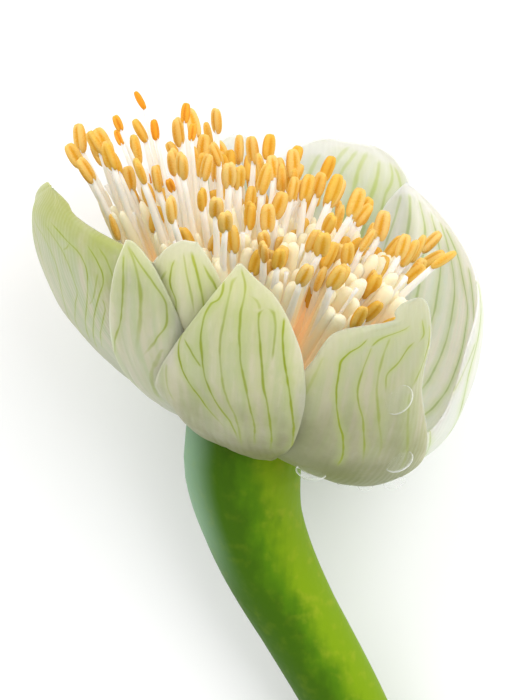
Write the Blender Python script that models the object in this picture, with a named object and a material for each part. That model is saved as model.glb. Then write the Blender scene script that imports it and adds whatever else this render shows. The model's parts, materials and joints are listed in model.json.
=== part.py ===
"""Cut head of a paintbrush lily with a length of its scape, lying on its side.

The head is worked out upright in its own frame: the scape's top at the origin, the head's axis along
+Z, the side that faces up once it lies along -Y. An empty then lays the whole flower down on the
flattened backs of its two underside bracts and on the scape's cut end, with the lowest point at z = 0.
Lengths are in metres and angles in radians unless a name says otherwise.
"""

import math
import random

import bmesh
import bpy
from mathutils import Matrix, Vector

# Scape: a fleshy stalk that bends sideways under the head and ends in a clean cut. Its path is a Bezier
# curve, and its radii are (place, radius) pairs from under the bracts at 0 to the cut at 1.
SCAPE_PATH = (
    (0.0, 0.0, 0.0),
    (0.0003, 0.0, -0.012),
    (0.006, 0.0, -0.020),
    (0.0235, 0.0, -0.036),
    (0.022, -0.0025, -0.055),
)
SCAPE_RADII = ((0.0, 0.00655), (0.10, 0.00575), (0.40, 0.00480), (0.65, 0.00440), (1.0, 0.00425))
SCAPE_START = 0.080
SCAPE_SIDES = 20
SCAPE_RINGS = 14

# Receptacle: the short neck and dome on top of the scape that carries the bracts and the flowers.
NECK_RADIUS = 0.00625
NECK_TOP = 0.0026
NECK_FOOT = -0.0022
DOME_CURVE = 0.0095
DOME_STEPS = 4

# Cup of bracts: one wall whose meridian is a cubic Bezier curve of (radius, height). It stands steeper on
# the right and leans out further on the left, its base is raised at the front, and it is pressed flat
# where it would sink past the plane that the head lies on. Every bract is a patch of it.
CUP_RIGHT = ((0.0068, -0.0008), (0.0240, -0.0110), (0.0312, 0.0065), (0.0240, 0.0335))
CUP_LEFT = ((0.0068, -0.0008), (0.0140, 0.0030), (0.0245, 0.0080), (0.0290, 0.0305))
LEFT_POWER = 0.5
BASE_RAISE = 0.0024
FRONT_RAISE = 0.0058
RAISE_TURN = math.radians(25)
RAISE_POWER = 3.0
LYING_DEPTH = 0.0178
LYING_EASE = 0.0004
BRACT_THICKNESS = 0.0009
LAYER_STEP = 0.00125
SQUARE_FROM = 0.2
KEEL_HEIGHT = 0.0008
KEEL_SPREAD = math.radians(15)
WIDEST_AT = 0.55
TIP_CUT = 0.985
TIP_ROUND = 1.4
BRACT_COLUMNS = 8
BRACT_ROWS = 10
ROW_EASE = 1.25
CURL_START = 0.80
TURN_POWER = 3.5

# name, azimuth and half angle in degrees, reach up the wall, layer, tip's turn in degrees, tip's curl
# inwards in metres, bluntness. Layer 0 is the outermost, and the azimuth runs from the right to the back.
BRACTS = (
    ("bract_1", 185, 36, 0.950, -2, -5, 0.0020, 1.7),
    ("bract_2", -124, 19, 0.930, -1, 4, 0.0003, 1.8),
    ("bract_3", -106, 17, 0.940, -2, 0, 0.0006, 2.6),
    ("bract_4", -96, 20.5, 0.940, 0, 2, 0.0012, 2.0),
    ("bract_5", -68, 26, 0.840, -1, 19, 0.0022, 3.4),
    ("bract_6", 8, 46, 0.930, -2, 40, 0.0010, 2.0),
    ("bract_7", 66.5, 26, 0.970, -1, 0, 0.0012, 2.8),
    ("bract_8", 112, 17.5, 0.955, -1, -2, 0.0014, 2.4),
    ("bract_9", 131, 17, 0.780, -2, 0, 0.0014, 2.0),
)

# Flowers: a dense brush that fans out from the dome to the mouth of the cup.
FLOWER_COUNT = 32
FLOWER_GAP = 0.0003
BASE_SPREAD = 0.0053
GOLDEN_ANGLE = math.radians(137.508)
BRUSH_RADIUS_RIGHT = 0.0205
BRUSH_RADIUS_LEFT = 0.0215
BRUSH_DEPTH_SHARE = 0.90
BRUSH_APEX = 0.0335
BRUSH_DROP = 0.0050
BRUSH_SLOPE = 0.25
SEED = 24

# One flower: a six-sided column of (share of the length, radius) from pedicel to throat, and on it six
# tepals, each with its stamen, round the style. Half sizes are (across, deep).
PARTS = 6
THROAT_AT = 0.34
THROAT_RADIUS = 0.00110
COLUMN = ((0.0, 0.00052), (0.18, 0.00052), (0.25, 0.00095), (THROAT_AT, THROAT_RADIUS))
CORE_SHARE = 0.55
STYLE = ((0.42, 0.00020), (0.96, 0.00018))
TEPAL_TOP = 0.72
TEPAL_HALF = (0.00036, 0.00016)
FILAMENT_STEP = 0.0003
FILAMENT_HALF = (0.00016, 0.00013)
STAMEN_SPREAD = 0.0022
STAMEN_REACH = 0.90
ANTHER_LENGTH = 0.0026
ANTHER_HALF = (0.00054, 0.00044)
ANTHER_TIP_SHARE = 0.45

# How the flower lies, and the head's turn on the surface.
LEAN = math.radians(-5.0)
TILT = math.radians(-74.0)
DOWNWARD = Vector((0.0, -math.sin(TILT), -math.cos(TILT)))


def make_material(name, color, roughness):
    """A plain surface of one colour."""
    material = bpy.data.materials.new(name)
    material.use_nodes = True
    shader = material.node_tree.nodes["Principled BSDF"]
    shader.inputs["Base Color"].default_value = (*color, 1.0)
    shader.inputs["Roughness"].default_value = roughness
    shader.inputs["Metallic"].default_value = 0.0
    return material


def add_object(name, bm, material, parent):
    """One named object from a finished mesh."""
    bmesh.ops.recalc_face_normals(bm, faces=bm.faces)
    mesh = bpy.data.meshes.new(name)
    bm.to_mesh(mesh)
    bm.free()
    mesh.materials.append(material)
    made = bpy.data.objects.new(name, mesh)
    bpy.context.collection.objects.link(made)
    made.parent = parent
    return made


def left_share(azimuth):
    """0 on the head's right side, 1 on its far left."""
    return ((1.0 - math.cos(azimuth)) / 2.0) ** LEFT_POWER


def raised_share(azimuth):
    """1 where the base of the cup stands highest, at the front and a little to the left."""
    return ((1.0 - math.sin(azimuth + RAISE_TURN)) / 2.0) ** RAISE_POWER


def blend(low, high, share):
    """The value a share of the way from low to high."""
    return low + (high - low) * share


def looked_up(pairs, at):
    """A value read off a list of (place, value) pairs, with straight lines between them."""
    for (first, low), (last, high) in zip(pairs, pairs[1:]):
        if at <= last:
            return blend(low, high, (at - first) / (last - first))
    return pairs[-1][1]


def bezier(points, t):
    """A point of the Bezier curve with these control points."""
    order = len(points) - 1
    weights = [math.comb(order, i) * t**i * (1 - t) ** (order - i) for i in range(order + 1)]
    return [sum(w * p[axis] for w, p in zip(weights, points)) for axis in range(len(points[0]))]


def keel(azimuth):
    """How far the wall stands out at an azimuth, most at each bract's middle."""
    total = 0.0
    for _, middle, *_ in BRACTS:
        away = math.remainder(azimuth - math.radians(middle), math.tau)
        total = max(total, math.exp(-((away / KEEL_SPREAD) ** 2)))
    return KEEL_HEIGHT * total


def pressed_back(depth):
    """How far the wall gives way where it would sink past the plane that the head lies on."""
    start = LYING_DEPTH - LYING_EASE
    if depth <= start:
        return 0.0
    return depth - LYING_DEPTH + LYING_EASE * math.exp((start - depth) / LYING_EASE)


def wall_point(azimuth, up):
    """A point of the cup's wall, a share up of the way along its meridian."""
    share = left_share(azimuth)
    meridian = [
        (blend(right[0], left[0], share), blend(right[1], left[1], share))
        for right, left in zip(CUP_RIGHT, CUP_LEFT)
    ]
    meridian[0] = (meridian[0][0], meridian[0][1] + BASE_RAISE * raised_share(azimuth))
    meridian[1] = (meridian[1][0], meridian[1][1] + FRONT_RAISE * raised_share(azimuth))
    radius, height = bezier(meridian, up)
    radius += keel(azimuth) * math.sin(math.pi * min(up, 1.0))
    point = Vector((radius * math.cos(azimuth), radius * math.sin(azimuth), height))
    return point - DOWNWARD * pressed_back(point.dot(DOWNWARD))


def wall_normal(azimuth, up):
    """The wall's outward direction at a point."""
    step = 0.002
    along = wall_point(azimuth, up + step) - wall_point(azimuth, up - step)
    around = wall_point(azimuth + step, up) - wall_point(azimuth - step, up)
    return around.cross(along).normalized()


def outline(share, bluntness):
    """A bract's half width as a share of its widest, from its base at 0 to its tip at 1."""
    if share <= WIDEST_AT:
        return 1.0
    past = TIP_CUT * (share - WIDEST_AT) / (1.0 - WIDEST_AT)
    return (1.0 - past**bluntness) ** (TIP_ROUND / bluntness)


def layer_shift(angle, up, layer):
    """The step from the wall to a bract's layer: upright at the neck, square to the wall above it."""
    out = wall_normal(angle, up)
    eased = min(1.0, up / SQUARE_FROM)
    way = Vector((out.x * eased, out.y * eased, out.z)).normalized()
    return way * LAYER_STEP * layer / way.dot(out)


def build_bract(parent, name, azimuth, half_angle, reach, layer, turn, curl, bluntness):
    """A thin curved patch of the cup's wall that narrows to a blunt tip which curls inwards."""
    bm = bmesh.new()
    bmesh.ops.create_grid(bm, x_segments=BRACT_COLUMNS, y_segments=BRACT_ROWS, size=1.0)
    for vert in bm.verts:
        across = vert.co.x
        share = 1.0 - ((1.0 - vert.co.y) / 2.0) ** ROW_EASE
        middle = azimuth + turn * share**TURN_POWER
        angle = math.radians(middle + half_angle * outline(share, bluntness) * across)
        up = reach * share
        point = wall_point(angle, up) + layer_shift(angle, up, layer)
        curled = max(0.0, share - CURL_START) / (1.0 - CURL_START)
        vert.co = point - Vector((math.cos(angle), math.sin(angle), 0.0)) * curl * curled**2
    bract = add_object(name, bm, make_material(name, (0.76, 0.82, 0.62), 0.45), parent)
    bract.data.shade_smooth()
    shell = bract.modifiers.new("Thickness", "SOLIDIFY")
    shell.thickness = BRACT_THICKNESS
    shell.offset = 0.0
    return bract


def add_ring(bm, centre, radius, turned, sides):
    """A ring of vertices round a centre, square to the turned frame's Z."""
    ring = []
    for step in range(sides):
        angle = math.tau * step / sides
        spoke = Vector((radius * math.cos(angle), radius * math.sin(angle), 0.0))
        ring.append(bm.verts.new(centre + turned @ spoke))
    return ring


def join_rings(bm, lower, upper):
    """Quads between two rings with the same number of vertices."""
    for step, vert in enumerate(lower):
        after = (step + 1) % len(lower)
        bm.faces.new((vert, lower[after], upper[after], upper[step]))


def scape_rings(bm):
    """Rings down the scape, from under the bracts to the cut."""
    rings = []
    for step in range(SCAPE_RINGS + 1):
        share = step / SCAPE_RINGS
        place = blend(SCAPE_START, 1.0, share)
        centre = Vector(bezier(SCAPE_PATH, place))
        along = Vector(bezier(SCAPE_PATH, place - 0.01)) - centre
        turned = Vector((0.0, 0.0, 1.0)).rotation_difference(along).to_matrix()
        rings.append(add_ring(bm, centre, looked_up(SCAPE_RADII, share), turned, SCAPE_SIDES))
    return rings


def build_scape(parent):
    """The stalk with its cut face, its neck and the dome that the flowers stand on, as one solid."""
    bm = bmesh.new()
    level = Matrix.Identity(3)
    edge = math.asin(NECK_RADIUS / DOME_CURVE)
    crown = NECK_TOP - DOME_CURVE * math.cos(edge)
    rings = []
    for step in range(1, DOME_STEPS + 1):
        angle = edge * step / DOME_STEPS
        centre = Vector((0.0, 0.0, crown + DOME_CURVE * math.cos(angle)))
        rings.append(add_ring(bm, centre, DOME_CURVE * math.sin(angle), level, SCAPE_SIDES))
    rings.append(add_ring(bm, Vector((0.0, 0.0, NECK_FOOT)), NECK_RADIUS, level, SCAPE_SIDES))
    rings += scape_rings(bm)
    for upper, lower in zip(rings, rings[1:]):
        join_rings(bm, lower, upper)
    bm.faces.new(list(reversed(rings[-1])))
    top = bm.verts.new(Vector((0.0, 0.0, crown + DOME_CURVE)))
    for step, vert in enumerate(rings[0]):
        bm.faces.new((vert, rings[0][(step + 1) % SCAPE_SIDES], top))
    scape = add_object("scape", bm, make_material("scape", (0.16, 0.33, 0.02), 0.4), parent)
    scape.data.shade_smooth()
    scape.data.set_sharp_from_angle(angle=math.radians(40))
    return scape


def raise_face(bm, face, centre, across, depth, half):
    """Extrude a four-cornered face to a new centre and half size, and give the face that tops it."""
    grown = bmesh.ops.extrude_discrete_faces(bm, faces=[face])["faces"][0]
    middle = grown.calc_center_median()
    for vert in grown.verts:
        offset = vert.co - middle
        side = math.copysign(half[0], offset.dot(across))
        thick = math.copysign(half[1], offset.dot(depth))
        vert.co = centre + across * side + depth * thick
    return grown


def raise_stamen(bm, face, length, angle, spread, reach, sway):
    """A tepal with its stamen in front of it: the tepal's blade, then the filament and the anther."""
    out = Vector((math.cos(angle), math.sin(angle), 0.0))
    side = Vector((-math.sin(angle), math.cos(angle), 0.0))
    up = Vector((0.0, 0.0, 1.0))
    blade = out * (THROAT_RADIUS + spread) / 2 + up * length * TEPAL_TOP
    face = raise_face(bm, face, blade, side, out, TEPAL_HALF)
    foot = blade + up * FILAMENT_STEP
    face = raise_face(bm, face, foot, side, out, FILAMENT_HALF)
    neck = out * spread + up * (length * reach - ANTHER_LENGTH)
    face = raise_face(bm, face, neck, side, out, FILAMENT_HALF)
    leaning = (up + out * sway[0] + side * sway[1]).normalized()
    middle = neck + leaning * ANTHER_LENGTH / 2
    face = raise_face(bm, face, middle, side, out, ANTHER_HALF)
    tip = neck + leaning * ANTHER_LENGTH
    raise_face(bm, face, tip, side, out, [half * ANTHER_TIP_SHARE for half in ANTHER_HALF])


def flower_mesh(length, chance):
    """A flower along +Z: pedicel, ovary and throat, six tepals with their stamens, and a style."""
    bm = bmesh.new()
    level = Matrix.Identity(3)
    axis = Vector((0.0, 0.0, length))
    rings = [add_ring(bm, axis * share, radius, level, PARTS) for share, radius in COLUMN]
    bm.faces.new(list(reversed(rings[0])))
    for lower, upper in zip(rings, rings[1:]):
        join_rings(bm, lower, upper)
    outer = rings[-1]
    inner = add_ring(bm, axis * THROAT_AT, THROAT_RADIUS * CORE_SHARE, level, PARTS)
    seats = []
    for step in range(PARTS):
        after = (step + 1) % PARTS
        seats.append(bm.faces.new((outer[step], outer[after], inner[after], inner[step])))
    core = bm.faces.new(inner)
    for share, radius in STYLE:
        core = bmesh.ops.extrude_discrete_faces(bm, faces=[core])["faces"][0]
        for vert in core.verts:
            around = Vector((vert.co.x, vert.co.y, 0.0)).normalized()
            vert.co = around * radius + axis * share
    for step, seat in enumerate(seats):
        angle = math.tau * (step + 0.5) / PARTS
        spread = STAMEN_SPREAD * chance.uniform(0.82, 1.0)
        sway = (chance.uniform(-0.30, 0.12), chance.uniform(-0.25, 0.25))
        raise_stamen(bm, seat, length, angle, spread, chance.uniform(STAMEN_REACH, 1.0), sway)
    return bm


def flower_place(index):
    """Where a flower stands on the dome and the point its axis aims at in the brush's outer face."""
    share = math.sqrt((index + 0.5) / FLOWER_COUNT)
    azimuth = index * GOLDEN_ANGLE
    around = Vector((math.cos(azimuth), math.sin(azimuth), 0.0))
    slope = math.asin(BASE_SPREAD * share / DOME_CURVE)
    crown = NECK_TOP - math.sqrt(DOME_CURVE**2 - NECK_RADIUS**2)
    out = around * math.sin(slope) + Vector((0.0, 0.0, math.cos(slope)))
    foot = Vector((0.0, 0.0, crown)) + out * (DOME_CURVE + FLOWER_GAP)
    aim = around * blend(BRUSH_RADIUS_RIGHT, BRUSH_RADIUS_LEFT, left_share(azimuth)) * share
    aim.y *= BRUSH_DEPTH_SHARE
    aim.z = BRUSH_APEX - BRUSH_DROP * share**2 - BRUSH_SLOPE * aim.x
    return foot, aim


def build_flower(parent, index):
    """One flower of the brush, turned a little on its own axis."""
    chance = random.Random(SEED + index)
    foot, aim = flower_place(index)
    axis = aim - foot
    spin = chance.uniform(0.0, math.tau / PARTS)
    bm = flower_mesh(axis.length, chance)
    name = f"flower_{index + 1:02d}"
    flower = add_object(name, bm, make_material(name, (0.85, 0.62, 0.28), 0.6), parent)
    flower.location = foot
    turned = Vector((0.0, 0.0, 1.0)).rotation_difference(axis)
    flower.rotation_euler = (turned.to_matrix() @ Matrix.Rotation(spin, 3, "Z")).to_euler()
    return flower


def lay_down(holder):
    """Turn the flower onto its side and set its lowest point at z = 0, centred over the origin."""
    turned = Matrix.Rotation(LEAN, 3, "Z") @ Matrix.Rotation(TILT, 3, "X")
    holder.rotation_euler = turned.to_euler()
    bpy.context.view_layer.update()
    graph = bpy.context.evaluated_depsgraph_get()
    points = []
    for child in holder.children:
        shaped = child.evaluated_get(graph)
        points += [shaped.matrix_world @ vert.co for vert in shaped.data.vertices]
    low = Vector([min(p[axis] for p in points) for axis in range(3)])
    high = Vector([max(p[axis] for p in points) for axis in range(3)])
    holder.location = (-(low.x + high.x) / 2, -(low.y + high.y) / 2, -low.z)
    bpy.context.view_layer.update()


def main():
    """Build the flower in an empty scene."""
    for old in list(bpy.data.objects):
        bpy.data.objects.remove(old)
    holder = bpy.data.objects.new("head", None)
    bpy.context.collection.objects.link(holder)
    build_scape(holder)
    for bract in BRACTS:
        build_bract(holder, *bract)
    for index in range(FLOWER_COUNT):
        build_flower(holder, index)
    lay_down(holder)


main()
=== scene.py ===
"""Looks of a cut paintbrush lily head with a length of its stalk, lying on its side.

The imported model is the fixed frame. Every piece is worked out in the head's own frame (stalk top at the
origin, head axis +Z, upper side -Y, right side +X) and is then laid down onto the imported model.
Lengths are in metres and angles in radians unless a name or a comment says otherwise.
"""

from __future__ import annotations

import json
import logging
import math
import random
from dataclasses import dataclass
from enum import Enum
from typing import Callable, Sequence

import bpy
from bpy.types import ID, Material, Mesh, Node, NodeSocket, NodeTree, Object
from mathutils import Matrix, Vector, noise

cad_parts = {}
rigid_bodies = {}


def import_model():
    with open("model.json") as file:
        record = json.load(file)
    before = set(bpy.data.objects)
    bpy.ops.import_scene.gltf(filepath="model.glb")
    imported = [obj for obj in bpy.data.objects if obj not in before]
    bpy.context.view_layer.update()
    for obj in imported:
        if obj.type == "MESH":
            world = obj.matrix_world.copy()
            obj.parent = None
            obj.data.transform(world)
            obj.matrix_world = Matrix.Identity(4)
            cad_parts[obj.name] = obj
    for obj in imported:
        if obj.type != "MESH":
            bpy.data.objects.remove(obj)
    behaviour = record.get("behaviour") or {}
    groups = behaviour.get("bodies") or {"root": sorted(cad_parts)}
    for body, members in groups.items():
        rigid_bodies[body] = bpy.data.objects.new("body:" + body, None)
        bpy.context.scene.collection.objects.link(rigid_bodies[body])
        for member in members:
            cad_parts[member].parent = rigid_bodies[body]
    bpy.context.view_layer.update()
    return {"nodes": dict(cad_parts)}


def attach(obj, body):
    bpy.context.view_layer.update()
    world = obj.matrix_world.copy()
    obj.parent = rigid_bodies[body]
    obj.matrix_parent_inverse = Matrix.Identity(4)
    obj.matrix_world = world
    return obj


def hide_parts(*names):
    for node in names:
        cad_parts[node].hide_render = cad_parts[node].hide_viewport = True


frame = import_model()

BODY = "root"

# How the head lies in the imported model.
LEAN = math.radians(-5.0)
TILT = math.radians(-74.0)
DOWNWARD = Vector((0.0, -math.sin(TILT), -math.cos(TILT)))
UP = Vector((0.0, 0.0, 1.0))

# A vein's slope is read over this share of a bract of this length, and its path keeps to these degrees.
VEIN_STEP = 0.01
BRACT_LENGTH = 0.070
VEIN_SPAN = 80.0
# Shares of a vein's width: its fully green core, and the stain round it.
VEIN_CORE = 0.2
VEIN_HALO = 5.5
# The share of a bract over which a vein ends.
VEIN_END = 0.012
# Waves up a bract in a vein's path and in its strength, and what sets one vein's waves off from another's.
VEIN_PITCHES = (9.0, 14.0)
VEIN_SEED_STEP = 7.31

LOG = logging.getLogger("paintbrush_lily")

Pairs = Sequence[tuple[float, float]]
Colour = tuple[float, float, float]
Size = Callable[[float], tuple[float, float]]


# ---------------------------------------------------------------------------------------------- sums


def blend(low: float, high: float, share: float) -> float:
    """The value a share of the way from low to high."""
    return low + (high - low) * share


def eased(value: float, start: float, stop: float) -> float:
    """0 before start and 1 past stop, with a smooth step between them."""
    share = min(1.0, max(0.0, (value - start) / (stop - start)))
    return share * share * (3.0 - 2.0 * share)


def looked_up(pairs: Pairs, at: float) -> float:
    """A value read off a list of (place, value) pairs, with straight lines between them.

    Args:
        pairs: Places in rising order, each with its value.
        at: Where to read.

    Returns:
        The value there.
    """
    for (first, low), (last, high) in zip(pairs, pairs[1:]):
        if at <= last:
            return blend(low, high, (at - first) / (last - first))
    return pairs[-1][1]


def curved_up(pairs: Pairs, at: float) -> float:
    """A value read off a list of (place, value) pairs, with a smooth curve through them.

    Args:
        pairs: Places in rising order, each with its value.
        at: Where to read.

    Returns:
        The value there.
    """
    places = [place for place, _ in pairs]
    step = max(0, min(len(pairs) - 2, sum(place <= at for place in places) - 1))
    slopes = []
    for index in (step, step + 1):
        before, after = max(0, index - 1), min(len(pairs) - 1, index + 1)
        slopes.append((pairs[after][1] - pairs[before][1]) / (places[after] - places[before]))
    gap = places[step + 1] - places[step]
    t = min(1.0, max(0.0, (at - places[step]) / gap))
    low, high = pairs[step][1], pairs[step + 1][1]
    keep = (2 * t**3 - 3 * t**2 + 1) * low + (3 * t**2 - 2 * t**3) * high
    return keep + gap * ((t**3 - 2 * t**2 + t) * slopes[0] + (t**3 - t**2) * slopes[1])


def bezier(points: Sequence[Sequence[float]], t: float) -> Vector:
    """The point of the Bezier curve with these control points.

    Args:
        points: Control points, each with the same number of coordinates.
        t: Place along the curve, 0 to 1.

    Returns:
        The point, with as many coordinates as the control points have.
    """
    order = len(points) - 1
    weights = [math.comb(order, i) * t**i * (1 - t) ** (order - i) for i in range(order + 1)]
    return Vector([sum(w * p[axis] for w, p in zip(weights, points)) for axis in range(len(points[0]))])


def polar(angle: float, radius: float = 1.0, height: float = 0.0) -> Vector:
    """The point at an angle round the axis, a radius away from it."""
    return Vector((radius * math.cos(angle), radius * math.sin(angle), height))


def turned_to(way: Vector) -> Matrix:
    """The shortest turn that takes +Z to a direction."""
    return UP.rotation_difference(way).to_matrix()


# ----------------------------------------------------------------------------------- tools for pieces


def clear_selection() -> None:
    """Deselect every object, so that the next operator acts on one piece."""
    for thing in bpy.context.view_layer.objects:
        thing.select_set(False)


def apply_modifier(piece: Object, kind: str, **settings: object) -> None:
    """Add a modifier with these settings and apply it at once.

    Args:
        piece: The object to change.
        kind: The modifier's type, such as SOLIDIFY.
        **settings: Its properties.
    """
    clear_selection()
    piece.select_set(True)
    bpy.context.view_layer.objects.active = piece
    modifier = piece.modifiers.new(kind.title(), kind)
    for key, value in settings.items():
        setattr(modifier, key, value)
    bpy.ops.object.modifier_apply(modifier=modifier.name)


def bisect_all(height: float, **settings: object) -> None:
    """In edit mode, cut the whole mesh with a level plane."""
    bpy.ops.mesh.select_all(action="SELECT")
    bpy.ops.mesh.bisect(plane_co=(0.0, 0.0, height), plane_no=(0.0, 0.0, 1.0), **settings)


def rod_blank(name: str, sides: int, heights: Sequence[float]) -> Object:
    """A straight closed round rod of unit radius and height, with rings of edges between its ends.

    Args:
        name: Name of the new object.
        sides: Number of sides.
        heights: Heights of the rings, those of both ends included.

    Returns:
        The rod, standing on the origin along +Z.
    """
    clear_selection()
    bpy.ops.mesh.primitive_cylinder_add(vertices=sides, radius=1.0, depth=1.0, location=(0.0, 0.0, 0.5))
    rod = bpy.context.object
    rod.name = name
    bpy.ops.object.transform_apply(location=True, rotation=True, scale=True)
    bpy.ops.object.mode_set(mode="EDIT")
    for height in heights[1:-1]:
        bisect_all(height)
    bpy.ops.object.mode_set(mode="OBJECT")
    return rod


def copied(blank: Object, name: str) -> Object:
    """A copy of a blank with a mesh of its own.

    Args:
        blank: The object to copy.
        name: Name of the copy.

    Returns:
        The copy, put in the scene.
    """
    made = bpy.data.objects.new(name, blank.data.copy())
    bpy.context.collection.objects.link(made)
    return made


def joined(parts: list[Object], name: str) -> Object:
    """Join objects into the first one and give it a name.

    Args:
        parts: Two objects or more.
        name: Name of the whole.

    Returns:
        The first object, which now holds them all.
    """
    first = parts[0]
    with bpy.context.temp_override(
        active_object=first, object=first, selected_objects=parts, selected_editable_objects=parts
    ):
        bpy.ops.object.join()
    first.name = name
    return first


def write_attributes(mesh: Mesh, **layers: Sequence[float]) -> None:
    """Store numbers at each vertex of a mesh, for its material to read.

    Args:
        mesh: Where to store them.
        **layers: Values in the order of the vertices, by attribute name.
    """
    for name, values in layers.items():
        layer = mesh.attributes.get(name) or mesh.attributes.new(name, "FLOAT", "POINT")
        layer.data.foreach_set("value", list(values))


def lay_rod(rod: Object, rail: Sequence[Vector], size: Size) -> None:
    """Bend a straight blank along a curve, and keep each vertex's height as an attribute.

    Args:
        rod: A blank of unit radius and height.
        rail: Control points of the Bezier curve that its middle line takes.
        size: Gives the half sizes across and deep at a height from 0 to 1.
    """
    heights = [vert.co.z for vert in rod.data.vertices]
    rings: dict[float, tuple[Vector, Matrix, tuple[float, float]]] = {}
    for height in sorted({round(value, 5) for value in heights}):
        step = 0.01 if height < 0.99 else -0.01
        along = (bezier(rail, height + step) - bezier(rail, height)) * math.copysign(1.0, step)
        rings[height] = (bezier(rail, height), turned_to(along), size(height))
    for vert in rod.data.vertices:
        centre, turned, (across, deep) = rings[round(vert.co.z, 5)]
        vert.co = centre + turned @ Vector((vert.co.x * across, vert.co.y * deep, 0.0))
    write_attributes(rod.data, height=heights)


def settle(piece: Object, material: Material, slot: str, *nodes: str) -> Object:
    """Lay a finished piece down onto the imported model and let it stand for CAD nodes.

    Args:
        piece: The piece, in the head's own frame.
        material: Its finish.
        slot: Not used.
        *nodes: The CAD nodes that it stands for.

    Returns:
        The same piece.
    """
    piece.data.name = piece.name
    piece.data.transform(HEAD)
    piece.data.materials.clear()
    piece.data.materials.append(material)
    piece.data.shade_smooth()
    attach(piece, BODY)
    if nodes:
        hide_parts(*nodes)
    LOG.info("%s: %d faces", piece.name, len(piece.data.polygons))
    return piece


# -------------------------------------------------------------------------------------------- finishes


class Sheet:
    """A node tree that is being drawn up, with short calls that add nodes and join them."""

    def __init__(self, tree: NodeTree) -> None:
        """Start on a tree."""
        self.tree = tree

    def fill(self, node: Node, inputs: dict) -> Node:
        """Set or join a node's inputs.

        Args:
            node: The node.
            inputs: Values or sockets by input name or number.

        Returns:
            The same node.
        """
        for key, value in inputs.items():
            if isinstance(value, NodeSocket):
                self.tree.links.new(value, node.inputs[key])
            else:
                node.inputs[key].default_value = value
        return node

    def put(self, kind: str, inputs: dict, out: int | str = 0, **settings: object) -> NodeSocket:
        """Add a node, set or join its inputs, and give one of its outputs.

        Args:
            kind: The node's type.
            inputs: Values or sockets by input name or number.
            out: Which output to give.
            **settings: The node's own properties.

        Returns:
            The output socket.
        """
        node = self.tree.nodes.new(kind)
        for key, value in settings.items():
            setattr(node, key, value)
        return self.fill(node, inputs).outputs[out]

    def group(self, tree: NodeTree, inputs: dict) -> list[NodeSocket]:
        """Place a node group and give its outputs.

        Args:
            tree: The group.
            inputs: Values or sockets by input name.

        Returns:
            Its outputs, in the group's order.
        """
        node = self.tree.nodes.new("ShaderNodeGroup")
        node.node_tree = tree
        return list(self.fill(node, inputs).outputs)

    def tissue(self, cloud_scale: float, cell_scale: float) -> list[NodeSocket]:
        """Cloudy patches and fine cells at these scales."""
        return self.group(GROUPS["tissue"], {"Cloud Scale": cloud_scale, "Cell Scale": cell_scale})

    def sum(self, operation: str, *values: object) -> NodeSocket:
        """A Math node of this operation on one to three values."""
        return self.put("ShaderNodeMath", dict(enumerate(values)), operation=operation)

    def times(self, first: object, second: object) -> NodeSocket:
        """Two values multiplied."""
        return self.sum("MULTIPLY", first, second)

    def minus(self, first: object, second: object) -> NodeSocket:
        """The first value less the second."""
        return self.sum("SUBTRACT", first, second)

    def varied(self, base: object, change: object, amount: object) -> NodeSocket:
        """A value with an amount of another one added to it."""
        return self.sum("MULTIPLY_ADD", change, amount, base)

    def ramp(
        self, value: object, start: object, stop: object, low: object = 0.0, high: object = 1.0
    ) -> NodeSocket:
        """Low before start, high past stop, with a smooth step between them."""
        inputs = {"Value": value, "From Min": start, "From Max": stop, "To Min": low, "To Max": high}
        return self.put("ShaderNodeMapRange", inputs, interpolation_type="SMOOTHSTEP")

    def mix(self, share: object, first: object, second: object) -> NodeSocket:
        """A colour between two colours."""
        first, second = [(*c, 1.0) if isinstance(c, tuple) and len(c) == 3 else c for c in (first, second)]
        return self.put("ShaderNodeMix", {0: share, 6: first, 7: second}, 2, data_type="RGBA")

    def noise(self, place: object, scale: object, detail: float, roughness: float = 0.5) -> NodeSocket:
        """A Noise Texture read at a place."""
        inputs = {"Vector": place, "Scale": scale, "Detail": detail, "Roughness": roughness}
        return self.put("ShaderNodeTexNoise", inputs)

    def bump(self, height: object, strength: float, distance: float) -> NodeSocket:
        """A surface direction that follows a height."""
        return self.put("ShaderNodeBump", {"Height": height, "Strength": strength, "Distance": distance})

    def read(self, name: str) -> NodeSocket:
        """A number stored at the vertices."""
        return self.put("ShaderNodeAttribute", {}, "Fac", attribute_name=name)

    def follow(self, at: object, pairs: Pairs, span: float) -> NodeSocket:
        """A smooth curve through (place, value) pairs, read off at a place.

        Args:
            at: Where to read.
            pairs: Places from 0 to 1 and values from minus the span to plus the span.
            span: The largest value.

        Returns:
            The value.
        """
        node = self.fill(self.tree.nodes.new("ShaderNodeFloatCurve"), {"Value": at})
        node.mapping.extend = "HORIZONTAL"
        points = node.mapping.curves[0].points
        for _ in pairs[2:]:
            points.new(0.5, 0.5)
        for point, (place, value) in zip(points, pairs):
            point.location = (place, 0.5 + 0.5 * value / span)
            point.handle_type = "AUTO_CLAMPED"
        node.mapping.update()
        return self.times(self.minus(node.outputs["Value"], 0.5), 2.0 * span)


def new_group(name: str, inputs: Sequence[str]) -> tuple[Sheet, dict]:
    """An empty shader node group with number sockets.

    Args:
        name: The group's name.
        inputs: Names of the inputs.

    Returns:
        The sheet to draw it on and its input sockets by name.
    """
    tree = bpy.data.node_groups.new(name, "ShaderNodeTree")
    for label in inputs:
        tree.interface.new_socket(name=label, in_out="INPUT", socket_type="NodeSocketFloat")
    entry = tree.nodes.new("NodeGroupInput")
    return Sheet(tree), {label: entry.outputs[label] for label in inputs}


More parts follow.
